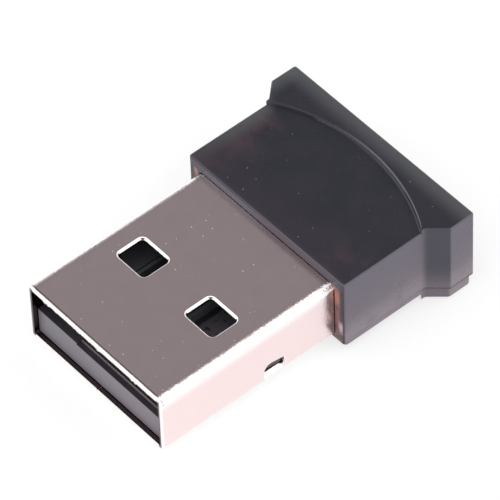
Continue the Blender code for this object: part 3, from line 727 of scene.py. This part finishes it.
# Painted highlight: a ragged matt white band on the right fold, and on the windows' near rims.
painted_highlight = ragged_x.fade(floor_half + 0.10, floor_half + 0.12) * at_fold * x.fade(0, 1)
painted_highlight = painted_highlight * below_face.fade(-0.10, -0.05)
corner_x, corner_y = ((past + WINDOW_CORNER).at_least(0) for past in (past_side, past_end))
past_window = (corner_x * corner_x + corner_y * corner_y).work("SQRT") - WINDOW_CORNER
near_side = (x - x.work("SIGN") * window_x - (y - window_y)).fade(-0.35, 0.25)
rim = past_window.between(0.07, 0.085, 0.13, 0.145) * below_face.fade(-0.10, -0.07)
painted_highlight = painted_highlight.at_least(rim * near_side * normal_z.fade(0.5, 0.6))

specks = dust(where, 1.1, 0.022, 0.28)
softness = noise(where, 2.5) * 0.08 + 0.16 + specks * 0.4 - at_fold * 0.12
plating = coats(plating, (painted_highlight, HIGHLIGHT_WHITE), (specks, (0.85, 0.80, 0.79)))
fill(shader, Base_Color=plating, Roughness=softness, Metallic=(1 - specks) * (1 - painted_highlight))
grain = noise(where, 10.0, 4.0, 0.6) + noise(where, 3.0, 2.0) * 0.8
fray = (noise(where, 7.0, 3.0, 0.7) - 0.5) * at_fold * 5.0
bumped(shader, grain + fray + specks, 0.008)
shell = run_tree(shell, fold_tree, dict(FOLD_SIZES, Finish=nickel))
print("shell folded:", len(shell.data.vertices), "points")

# %% [markdown]
# Each latch is a tab of the sheet, cut free on three sides and pressed in to lock into the black core.
# It is cut flat like the strip, turned into its leaning place, and joined to the shell with a Boolean
# union, so that the shell stays one closed body.

# %% The latches
LATCH_LEAN = math.radians(30)
LATCH_ROOT = Vector((5.93, 0, 0.1))
TAB_LOW, TAB_HIGH = 0.08, 0.51
TAB_FRONT_GAP, TAB_BACK_GAP = 0.06, 0.03
TAB_ROUNDS = (0, 0, 0.28, 0.1)

tab_corners = rectangle(LATCH_SETBACK + TAB_FRONT_GAP, latch_back - TAB_BACK_GAP, TAB_LOW, TAB_HIGH)
tab_outline = rounded(tab_corners, TAB_ROUNDS)
outward = Vector((math.cos(LATCH_LEAN), 0, math.sin(LATCH_LEAN)))
climbing = Vector((-math.sin(LATCH_LEAN), 0, math.cos(LATCH_LEAN)))
leaning = Matrix((LENGTH_AXIS, climbing, outward)).transposed().to_4x4()
tab_place = Matrix.Translation(LATCH_ROOT - outward * SHEET / 2) @ leaning
for name, mirror in (("latch_right", 1), ("latch_left", -1)):
    tab = cut_sheet(name, [tab_outline])
    tab.data.transform(Matrix.Scale(mirror, 4, ROUND_AXIS) @ tab_place)
    if mirror * tab_place.determinant() < 0:
        tab.data.flip_normals()
    tab.data.materials.append(nickel)
    shell = combined(shell, "UNION", tab)

# %% [markdown]
# The Boolean drops triangles whose three points lie in a line, and so leaves slits with no width.
# Each is filled again, and turning the filling's longest edge shares its middle point with the next
# face.

# %% Close the slits and seat the shell
work = opened(shell)
bmesh.ops.triangulate(work, faces=work.faces)
open_edges = [found for found in work.edges if found.is_boundary]
fillings = bmesh.ops.holes_fill(work, edges=open_edges, sides=0)["faces"]
for longest in [max(filling.edges, key=lambda found: found.calc_length()) for filling in fillings]:
    bmesh.utils.edge_rotate(longest)
bmesh.ops.recalc_face_normals(work, faces=work.faces)
work.to_mesh(shell.data)
work.free()
print(len(open_edges), "open edges closed with", len(fillings), "fillings")
seat(shell, "nickel_plate", "usb_shell")

# %% [markdown]
# **Smoke-grey plastic.** The cap's plastic is dark and translucent. It looks almost black where the
# insides lie under it, and lighter where light comes in through a thin wall: along the left edge and
# the back, and down its sides. A reddish brown shows through here and there. Real translucency would
# need the true insides, so the tints are painted where they lie.

# %% Smoke plastic: seen from above
BODY_HALF = 6.88
WAIST, EAR = 19.25, 20.36
ARC_RISE, ARC_AHEAD = 1.93, 0.2
smoke, shader, where, (x, y, z) = new_finish("smoke_plastic_moulding")
normal_y, normal_z = facing(where)[1:]
cloud = noise(where, 0.45, 2.0)
mottle = noise(where, 0.9, 2.0)
in_band = y.fade(WAIST - 0.6, WAIST + 0.6)
from_left = x + in_band * (ear_half - BODY_HALF) + BODY_HALF
from_front = y - cap_front

reddish = mottle.fade(0.25, 0.60) * from_left.fade(3.0, 0.9) * y.fade(WAIST + 0.2, WAIST - 1.2)
reddish_right = mottle.fade(0.38, 0.62) * x.fade(3.2, 5.6) * from_front.fade(3.4, 0.6)
top = coats(
    (0.020, 0.022, 0.031),
    (cloud.fade(0.35, 0.65), (0.026, 0.0255, 0.034)),
    ((reddish + reddish_right).held(0, 1), (0.056, 0.038, 0.046)),
    (from_left.fade(1.3, 0.1) * 0.75, (0.083, 0.091, 0.096)),
    ((cap_back - y).fade(1.5, 0.1) * 0.7, (0.098, 0.102, 0.110)),
    (from_front.fade(4.0, 0.5) * 0.6, (0.033, 0.027, 0.036)),
    (from_front.fade(0.35, 0.05) * 0.4, (0.050, 0.050, 0.058)),
)

# %% Smoke plastic: down the sides
# Painted shade: the flare is painted darker, most towards its top.
in_flare = y.between(WAIST - 0.35, WAIST + 0.25, EAR - 0.05, EAR + 0.12)
in_flare = in_flare * (z.fade(-0.2, 2.4) * 0.5 + 0.45)
on_seam = z.between(-0.02, 0.04, 0.22, 0.30) * (y.fade(WAIST - 0.6, WAIST) * 0.6 + 0.2)
# Painted light: the sides are painted lighter towards the bottom.
wall = coats(
    (0.088, 0.075, 0.106),
    (z.fade(4.2, 0.4), (0.125, 0.098, 0.118)),
    (z.fade(2.2, 0.4) * 0.65, (0.215, 0.180, 0.210)),
    (mottle.fade(0.5, 0.75) * 0.35, (0.10, 0.070, 0.085)),
    (in_flare, (0.028, 0.026, 0.044)),
    (on_seam, (0.060, 0.030, 0.022)),
)

# %% [markdown]
# The front face is nearly black, except beside the plug, where the thin wall glows amber, with a pale
# glint low on the right.

# %% Smoke plastic: the front face
flecks = noise(where, 1.7, 3.0, 0.6)
amber = x.between(5.6, 6.0, 6.35, 6.60) * (flecks.fade(0.30, 0.55) * 0.7 + 0.3)
amber = amber * (z.fade(1.6, 3.6) * 0.6 + 0.4)
amber_left = x.between(-6.55, -6.35, -6.15, -6.0) * z.fade(3.4, 4.3) * flecks.fade(0.35, 0.6)
glint = x.between(6.25, 6.45, 6.60, 6.80) * z.between(0.5, 0.9, 1.5, 1.9) * flecks.fade(0.35, 0.6)
front = coats(
    (0.004, 0.002, 0.014),
    ((amber + amber_left * 0.8).held(0, 1), (0.34, 0.130, 0.085)),
    (z.fade(4.4, 4.6), (0.020, 0.008, 0.030)),
    (glint, (0.45, 0.32, 0.34)),
)
wall = coats(wall, (normal_y.fade(-0.6, -0.9) * from_front.fade(0.3, 0.2), front))

# %% [markdown]
# Highlights are painted on the rounded edges towards the right. The rim of the band's arc shows it
# most: it is painted near-black at the left end, as a reflection of the dull patch, and painted light
# towards the right, together with the line at its foot.

# %% Smoke plastic: painted highlights on the edges, dust and gloss
on_edge = normal_z.between(0.25, 0.50, 0.85, 0.97)
arc_radius = (BODY_HALF**2 + ARC_RISE**2) / (2 * ARC_RISE)
arc_centre = WAIST - ARC_AHEAD + ARC_RISE - arc_radius
from_arc = (x * x + (y - arc_centre) * (y - arc_centre)).work("SQRT") - arc_radius
at_rim = on_edge * from_arc.between(-0.05, -0.02, 0.15, 0.20)
at_foot = normal_z.fade(0.97, 0.99) * from_arc.between(-0.14, -0.09, -0.03, 0.0)
at_foot = at_foot * abs(x).fade(BODY_HALF - 0.05, BODY_HALF - 0.2)
lit_end = x.fade(-3.5, 2.5) * 0.8
paint = coats(
    wall,
    (normal_z.fade(0.45, 0.9), top),
    # Painted highlights on the edges and the arc's rim, and a painted dark reflection at the rim's left
    # end.
    (on_edge * x.fade(-3.0, 2.0) * (1 - in_flare) * 0.4, (0.13, 0.13, 0.14)),
    (at_rim * x.fade(1.5, -3.5), (0.001, 0.001, 0.002)),
    (at_rim * lit_end, (0.11, 0.11, 0.12)),
    (at_foot * lit_end, (0.10, 0.10, 0.11)),
    (dust(where, 0.8, 0.022, 0.30), (0.45, 0.45, 0.46)),
)
fill(shader, Base_Color=paint, Roughness=noise(where, 3.0, 2.0) * 0.08 + 0.24, IOR=1.5)
bumped(shader, noise(where, 2.0, 2.0), 0.0003)

# %% [markdown]
# ## The cap
#
# The cap is two mouldings that meet at a seam low on its side. Both are a T in plan with a raised band
# along the back, whose front edge is an arc. A bevel tool folds over itself where the arc runs out at
# the waist, so each moulding is a block and a band, each lofted through copies of its own outline
# that shrink inwards towards the outer face. The shrinking dies away towards the arc's two tips.

# %% The cap's plan
CAP_CORNER, COVER_CORNER, WAIST_FILLET = 0.16, 0.30, 0.4
BLOCK_LAP, ARC_STEPS = 0.3, 40


def cap_plan(inset, corner):
    """The outlines of the front block and of the band behind it, drawn anticlockwise."""
    half, ear = BODY_HALF - inset, ear_half - inset
    front_y, back_y = cap_front + inset, cap_back - inset
    slope = math.atan2(ear_half - BODY_HALF, EAR - WAIST)
    waist = WAIST + inset * math.tan(slope / 2)
    ear_y = EAR + inset * math.tan(slope / 2)
    arc_y = waist - ARC_AHEAD
    right = [Vector(p) for p in ((half, arc_y), (half, waist), (ear, ear_y), (ear, back_y))]
    left = [Vector((-point.x, point.y)) for point in reversed(right)]
    rim = rounded(right + left, [0, WAIST_FILLET] + [corner] * 4 + [WAIST_FILLET, 0])
    radius = (half**2 + ARC_RISE**2) / (2 * ARC_RISE)
    swing = math.asin(half / radius)
    arc = []
    for step in range(1, ARC_STEPS):
        angle = swing * (1 - 2 * step / ARC_STEPS)
        arc_point = (radius * math.sin(angle), arc_y + ARC_RISE - radius * (1 - math.cos(angle)))
        arc.append(Vector(arc_point))
    nose_corners = [left[-1], Vector((-half, front_y)), Vector((half, front_y)), right[0]]
    nose = rounded(nose_corners, (0, corner, corner, 0))
    block = nose + [point + Vector((0, BLOCK_LAP)) for point in arc]
    return block, rim + arc[::-1]


# %% Mould the two halves
SEAM_ROUND, EDGE_STEPS, TIP_REACH = 0.03, 4, 0.6
BODY_TOP, COVER_TOP = 5.18, -0.5
HOUSING_EDGE, COVER_EDGE = 0.12, 0.22
COVER_INSET, SEAM_SLIT = 0.12, 0.02


def moulded(name, outline, tips, seam_z, face_z, edge):
    """A loft from the seam to the outer face, whose rim is rounded except at the tips."""
    outwards = math.copysign(1, face_z - seam_z)
    rows = [(SEAM_ROUND, seam_z), (0, seam_z + outwards * SEAM_ROUND)]
    for step in range(EDGE_STEPS + 1):
        angle = math.pi / 2 * step / EDGE_STEPS
        rows.append((edge * (1 - math.cos(angle)), face_z - outwards * edge * (1 - math.sin(angle))))
    inwards = beside([outline[-1]] + outline + [outline[0]], 1)[1:-1]
    rings = []
    for inset, level in rows:
        ring = []
        for point, moved in zip(outline, inwards):
            share = min([1] + [(point - tip).length / TIP_REACH for tip in tips])
            place = point + (moved - point) * inset * share
            ring.append((place.x, place.y, level))
        rings.append(ring)
    return loft(name, rings)


def cap_half(name, inset, corner, seam_z, block_z, band_z, edge):
    """One of the cap's two mouldings, from the seam to its two levels."""
    block, band = cap_plan(inset, corner)
    arc_y = min(point.y for point in band)
    tips = [point for point in band if point.y < arc_y + WELD]
    body = moulded(name, block, [], seam_z, block_z, edge)
    tail = moulded(f"{name}_band", band, tips, seam_z, band_z, edge)
    return combined(body, "UNION", tail)


housing = cap_half("cap_upper_shell", 0, CAP_CORNER, seam_level, BODY_TOP, band_top, HOUSING_EDGE)
cover_sizes = (seam_level - SEAM_SLIT, COVER_TOP, cover_floor, COVER_EDGE)
cover = cap_half("cap_lower_shell", COVER_INSET, COVER_CORNER, *cover_sizes)

# %% [markdown]
# The upper moulding is hollow, and both have a passage for the plug. Plain cutters are taken away with
# a Boolean.

# %% Hollow the mouldings
WALL, ROOM_CEILING = 0.7, 0.15
PASSAGE_CLEAR = 0.06
OVERCUT = 1


def prism(name, outline, start, end, upright=True):
    """A plain cutter: an outline run from one level to another, upright or along the plug."""
    rings = []
    for level in (start, end):
        rings.append([(p.x, p.y, level) if upright else (p.x, level, p.y) for p in outline])
    return loft(name, rings)


block, band = cap_plan(WALL, CAP_CORNER)
front_of_room = [point for point in block if point.y < WAIST - OVERCUT]
back_of_room = [point for point in band if abs(point.x) > BODY_HALF - WALL - WELD]
room_plan = front_of_room + back_of_room
room = prism("room", room_plan, seam_level - OVERCUT, shell_height + ROOM_CEILING)
passage_half = shell_width / 2 + PASSAGE_CLEAR
passage_plan = rectangle(-passage_half, passage_half, -PASSAGE_CLEAR, shell_height + PASSAGE_CLEAR)
passage_outline = rounded(passage_plan, [BEND + PASSAGE_CLEAR] * 4)
for moulding, solid, cutters in ((housing, "upper_housing", [room]), (cover, "lower_cover", [])):
    passage = prism("passage", passage_outline, cap_front - OVERCUT, leg_back, upright=False)
    moulding = combined(moulding, "DIFFERENCE", *cutters, passage)
    moulding.data.materials.append(smoke)
    seat(moulding, "smoke_plastic", solid, sharp_angle=60)

# %% [markdown]
# ## The black core
#
# The core fills the shell from behind and runs forward as the tongue that carries the contacts. It is
# matt black, paler on the tongue's nose, which faces the light. Further in, in the shade under the
# shell, it is painted lighter on the left than on the right, as painted light, and a pool of light
# is painted on the tongue below the right window.

# %% Black plastic
black, shader, where, (x, y, _) = new_finish("black_plastic_moulding")
normal_y, normal_z = facing(where)[1:]
cloud = noise(where, 0.7)
blotch = noise(where, 2.6, 2.0)
# Painted light: further in, the core is painted lighter on the left than on the right.
deep_painted_light = coats((0.088, 0.088, 0.106), (x.fade(-1.5, 1.0), (0.036, 0.034, 0.041)))
# A painted pool of light on the tongue below the right window, broken by dark spots.
painted_light_pool = x.between(1.55, 1.70, 2.90, 3.10) * y.between(6.0, 6.3, 8.5, 8.9)
painted_light_pool = painted_light_pool * normal_z.fade(0.8, 0.95) * blotch.fade(0.66, 0.62)
across_nose = (x + cloud * 4.0).fade(-6.0, 6.0)
nose_paint = coats((0.142, 0.134, 0.154), (across_nose, (0.170, 0.150, 0.172)))
core_paint = coats(
    (0.040, 0.032, 0.040),
    (cloud.fade(0.3, 0.7), (0.054, 0.045, 0.054)),
    (y.fade(4.0, 5.5), deep_painted_light),
    (painted_light_pool, (0.105, 0.100, 0.115)),
    (normal_y.fade(-0.5, -0.85) * y.fade(1.2, 1.0), nose_paint),
)
fill(shader, Base_Color=core_paint)
fill(shader, Roughness=noise(where, 4.0) * 0.15 + 0.38 - y.fade(3.5, 4.5) * 0.25)
bumped(shader, noise(where, 12.0), 0.0015)

# %% [markdown]
# The core's solid has the right shape, but a moulding's edges are not knife-sharp. So the piece is a
# copy of the solid, in the plug's millimetres, with the edges of its nose rounded. An edge that
# crosses the whole core is left as it is.

# %% Round the core's edges
CORE_ROUND, NOSE_REACH, OFF_CENTRE = 0.03, 0.9, 0.1
SHARP_ANGLE, SOLID_FLAT = math.radians(35), math.radians(1)
work = opened(frame["nodes"]["contact_carrier"])
bmesh.ops.remove_doubles(work, verts=work.verts, dist=0.001 * MM)
work.transform(Matrix.Scale(1 / MM, 4) @ Matrix.Translation(-plug_origin))
bmesh.ops.dissolve_limit(work, angle_limit=SOLID_FLAT, verts=work.verts, edges=work.edges)
nose_edges = []
for found in work.edges:
    middle = (found.verts[0].co + found.verts[1].co) / 2
    on_nose = middle.y < NOSE_REACH and abs(middle.x) > OFF_CENTRE
    if on_nose and found.calc_face_angle(0) > SHARP_ANGLE:
        nose_edges.append(found)
bmesh.ops.bevel(work, geom=nose_edges, offset=CORE_ROUND, segments=2, profile=0.5, affect="EDGES")
core = from_bmesh("tongue_core", work)
core.data.materials.append(black)
seat(core, "black_plastic", "contact_carrier")

# %% [markdown]
# ## The contacts
#
# Four gold-plated springs lie in grooves along the tongue, the outer pair further forward than the
# inner pair. They are bright at the mouth and dull with oxide further in, where they are painted
# lighter on the right than on the left, as painted light and shade.

# %% Gold plate
gold, shader, where, (x, y, _) = new_finish("gold_plating")
wear = noise(where, 3.0, 4.0, 0.6)
oxide = y.fade(3.6, 4.4)
# Further in, the oxide is painted lighter on the right than on the left, as painted light and shade.
oxide_and_painted_light = coats((0.055, 0.055, 0.066), (x.fade(-3.0, -1.0), (0.13, 0.128, 0.145)))
gold_tone = coats((0.80, 0.57, 0.22), (wear.fade(0.35, 0.7), (0.88, 0.68, 0.34)), (oxide, oxide_and_painted_light))
fill(shader, Base_Color=gold_tone, Metallic=1 - oxide)
fill(shader, Roughness=noise(where, 8.0) * 0.12 + 0.16 + oxide * 0.3)
bumped(shader, noise(where, 12.0), 0.0006)

# %% [markdown]
# The contacts are one shape repeated, so a Geometry Nodes tree draws the bent strip once and sets it
# out at both places of a pair. Its path is a line resampled to three points, which are moved to the
# tip, the bend and the tail. The bend is filleted, and a soft-edged strip is swept along the path.

# %% The bent path
CONTACT_SIZES = ("Place", "Nose", "Tail", "Tip Low", "Top", "Width", "Thickness")
CONTACT_BEND, BEND_STEPS = 0.35, 6
CONTACT_EDGE, CONTACT_THICKNESS = 0.05, 0.25
SAME = 0.1
pair_tree, given, readings = new_tree("contact_pair", CONTACT_SIZES)
place, nose_y, tail, tip, top_z, strip_width, strip_thick = readings
inner_z = top_z - strip_thick / 2
front_y = nose_y + strip_thick / 2


def point_at(x_value, y_value, z_value):
    return add_node(pair_tree, "ShaderNodeCombineXYZ", X=x_value, Y=y_value, Z=z_value).outputs[0]


long_line = add_node(pair_tree, "GeometryNodeCurvePrimitiveLine")
fill(long_line, Start=point_at(0.0, front_y, inner_z), End=point_at(0.0, tail, inner_z))
resampled = add_node(pair_tree, "GeometryNodeResampleCurve", Curve=long_line.outputs[0], Count=3)
order = Reading(add_node(pair_tree, "GeometryNodeInputIndex").outputs[0])
is_tip, is_bend, is_tail = (order.work("COMPARE", number, SAME) for number in (0.0, 1.0, 2.0))
path_y = front_y * (is_tip + is_bend) + tail * is_tail
path_z = tip * is_tip + inner_z * (is_bend + is_tail)
bent = add_node(pair_tree, "GeometryNodeSetPosition", Geometry=resampled.outputs[0])
fill(bent, Position=point_at(0.0, path_y, path_z))

# %% The section, the sweep and the pair


def filleted(curve, radius, steps):
    """A curve with its corners turned into arcs."""
    node = add_node(pair_tree, "GeometryNodeFilletCurve", {"mode": "POLY"}, Curve=curve)
    fill(node, Count=steps, Radius=radius)
    return node.outputs[0]


profile = add_node(pair_tree, "GeometryNodeCurvePrimitiveQuadrilateral")
fill(profile, Width=strip_thick, Height=strip_width)
swept = add_node(pair_tree, "GeometryNodeCurveToMesh", Fill_Caps=True)
fill(swept, Curve=filleted(bent.outputs[0], CONTACT_BEND, BEND_STEPS))
fill(swept, Profile_Curve=filleted(profile.outputs[0], CONTACT_EDGE, 2))
sides = add_node(pair_tree, "GeometryNodeMeshLine", Count=2)
fill(sides, Start_Location=point_at(place * -1, 0.0, 0.0))
fill(sides, Offset=point_at(place * 2, 0.0, 0.0))
set_out = add_node(pair_tree, "GeometryNodeInstanceOnPoints", Points=sides.outputs[0])
fill(set_out, Instance=swept.outputs[0])
close_tree(pair_tree, given, set_out.outputs[0])

PAIRS = (("outer_contacts", "contact_1", "contact_4"), ("inner_contacts", "contact_2", "contact_3"))
for name, outer, inner in PAIRS:
    low, high = span(inner)
    middle = abs(low.x + high.x) / 2
    sizes = (middle, low.y, high.y, low.z, high.z, high.x - low.x, CONTACT_THICKNESS)
    values = dict(zip(CONTACT_SIZES, sizes), Finish=gold)
    pair = run_tree(placed(name, bpy.data.meshes.new(name)), pair_tree, values)
    seat(pair, "gold_plate", outer, inner)

# %% [markdown]
# ## What the cap hides
#
# The board, its chips and its solder stay as their solids, which have the right shape. Each gets a
# finish of its own, in case the cap is taken off.

# %% Finishes for the parts inside


def cloudy(name, dark, light, per_mm, roughness, metallic=0.0):
    """A finish whose colour drifts between two tones at a given scale, with a fine bump."""
    material, shader, where, _ = new_finish(name)
    drift = noise(where, per_mm, 4.0, 0.6).fade(0.3, 0.7)
    fill(shader, Base_Color=coats(dark, (drift, light)), Metallic=metallic)
    fill(shader, Roughness=noise(where, per_mm * 2.0) * 0.2 + (roughness - 0.1))
    bumped(shader, noise(where, per_mm * 4.0), 0.002)
    return material


INSIDE = {
    "green_board": cloudy("solder_mask_green", (0.020, 0.085, 0.045), (0.035, 0.130, 0.070), 2.0, 0.38),
    "chip_plastic": cloudy("chip_moulding", (0.016, 0.016, 0.018), (0.028, 0.028, 0.030), 10.0, 0.5),
    "tin": cloudy("bright_tin", (0.62, 0.62, 0.60), (0.80, 0.80, 0.78), 5.0, 0.3, 1.0),
    "ceramic": cloudy("fired_ceramic", (0.36, 0.25, 0.15), (0.52, 0.38, 0.25), 8.0, 0.5),
    "resistor_black": cloudy("resistor_coat", (0.022, 0.022, 0.026), (0.045, 0.045, 0.050), 8.0, 0.4),
    "copper": cloudy("bare_copper", (0.66, 0.32, 0.16), (0.80, 0.45, 0.26), 6.0, 0.32, 1.0),
    "led_lens": cloudy("milky_lens", (0.70, 0.73, 0.75), (0.86, 0.87, 0.88), 3.0, 0.28),
}
inner_parts = [part for part in frame["record"]["subparts"] if part["material_slot"] in INSIDE]
for part in inner_parts:
    solid = frame["nodes"][part["node"]]
    solid.material_slots[0].material = INSIDE[part["material_slot"]]
print("dressed", len(inner_parts), "solids inside the cap")

# %% [markdown]
# ## Light, floor and camera
#
# The adapter stands in a white tent, which is the only light besides the table's faint glow. White
# fills the view all round, except for a dull patch up behind the object, which the plug's top face
# mirrors towards the camera.

# %% The tent
DULL_AZIMUTH, DULL_ELEVATION = 231.0, 49.0
DULL_EDGE, DULL_FULL = math.radians(33), math.radians(29)
DULL_CLOTH, WHITE_CLOTH = (0.183, 0.159, 0.168), (1.0, 1.0, 1.0)
TENT_LIGHT = 1.35


def direction(azimuth, elevation):
    """A unit vector towards an azimuth (0 at -Y, 90 at +X) and an elevation."""
    turn_round, rise = math.radians(azimuth), math.radians(elevation)
    level = math.cos(rise)
    return Vector((math.sin(turn_round) * level, -math.cos(turn_round) * level, math.sin(rise)))


world = bpy.data.worlds.new("white_tent")
bpy.context.scene.world = world
world.use_nodes = True
tree = world.node_tree
coordinates = add_node(tree, "ShaderNodeTexCoord")
towards = add_node(tree, "ShaderNodeVectorMath", {"operation": "DOT_PRODUCT"})
join(coordinates.outputs["Generated"], towards.inputs[0])
join(direction(DULL_AZIMUTH, DULL_ELEVATION), towards.inputs[1])
dull = Reading(towards.outputs["Value"]).fade(math.cos(DULL_EDGE), math.cos(DULL_FULL))
seen = Reading(add_node(tree, "ShaderNodeLightPath").outputs["Is Camera Ray"])
cloth = coats(WHITE_CLOTH, (dull * (1 - seen), DULL_CLOTH))
fill(tree.nodes["Background"], Color=cloth, Strength=TENT_LIGHT - seen * (TENT_LIGHT - 1))

# %% [markdown]
# The table is white paper that glows a little, so that the shadow stays soft. From below it is clear,
# so the adapter's underside can be looked at.

# %% The table
TABLE_GLOW, TABLE_WHITE = 0.62, 0.4
FLOOR_HALF, FLOOR_DROP = 0.6, 0.00002
work = bmesh.new()
level = Matrix.Translation((0, 0, solid_box[0].z - FLOOR_DROP))
bmesh.ops.create_grid(work, x_segments=1, y_segments=1, size=FLOOR_HALF, matrix=level)
floor = from_bmesh("floor", work)

paper = bpy.data.materials.new("white_paper")
paper.use_nodes = True
tree = paper.node_tree
shader = tree.nodes["Principled BSDF"]
fill(shader, Base_Color=(TABLE_WHITE, TABLE_WHITE, TABLE_WHITE, 1), Roughness=1.0)
fill(shader, Specular_IOR_Level=0.0)
glow = add_node(tree, "ShaderNodeEmission", Strength=TABLE_GLOW)
lit = add_node(tree, "ShaderNodeAddShader")
clear = add_node(tree, "ShaderNodeBsdfTransparent")
under = add_node(tree, "ShaderNodeNewGeometry")
choose = add_node(tree, "ShaderNodeMixShader")
for output, socket in (
    (shader.outputs[0], lit.inputs[0]),
    (glow.outputs[0], lit.inputs[1]),
    (under.outputs["Backfacing"], choose.inputs[0]),
    (lit.outputs[0], choose.inputs[1]),
    (clear.outputs[0], choose.inputs[2]),
    (choose.outputs[0], tree.nodes["Material Output"].inputs["Surface"]),
):
    join(output, socket)
floor.data.materials.append(paper)
floor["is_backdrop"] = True

# %% [markdown]
# The camera stands where the photographer's did: to the right of the plug's mouth, halfway up, and far
# off with a long lens, so that parallel edges stay nearly parallel. Its place was worked out
# from the photograph's straight edges.

# %% The camera
CAMERA_AZIMUTH, CAMERA_ELEVATION, CAMERA_ROLL = 51.077, 48.994, -2.396
AIM = Vector((-0.994, 12.595, 2.0)) * MM + plug_origin
DISTANCE = 0.32033
SENSOR, IMAGE, FOCAL_PIXELS = 36.0, 500, 5470.26

lens = bpy.data.cameras.new("camera")
lens.sensor_width = SENSOR
lens.lens = FOCAL_PIXELS / IMAGE * SENSOR
lens.clip_start, lens.clip_end = 0.01, 10
camera = placed("camera", lens)
back_axis = direction(CAMERA_AZIMUTH, CAMERA_ELEVATION)
level_right = Vector((0, 0, 1)).cross(back_axis).normalized()
level_up = back_axis.cross(level_right)
level_axes = Matrix((level_right, level_up, back_axis)).transposed().to_4x4()
roll = Matrix.Rotation(math.radians(CAMERA_ROLL), 4, "Z")
camera.matrix_world = Matrix.Translation(AIM + back_axis * DISTANCE) @ level_axes @ roll
bpy.context.scene.camera = camera
bpy.context.scene.view_settings.view_transform = "Standard"

# %% Note both boxes and finish
bpy.context.view_layer.update()
dressed_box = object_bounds()
sizes = [[list(corner) for corner in found] for found in (solid_box, dressed_box)]
print("solid box and dressed box:", sizes)
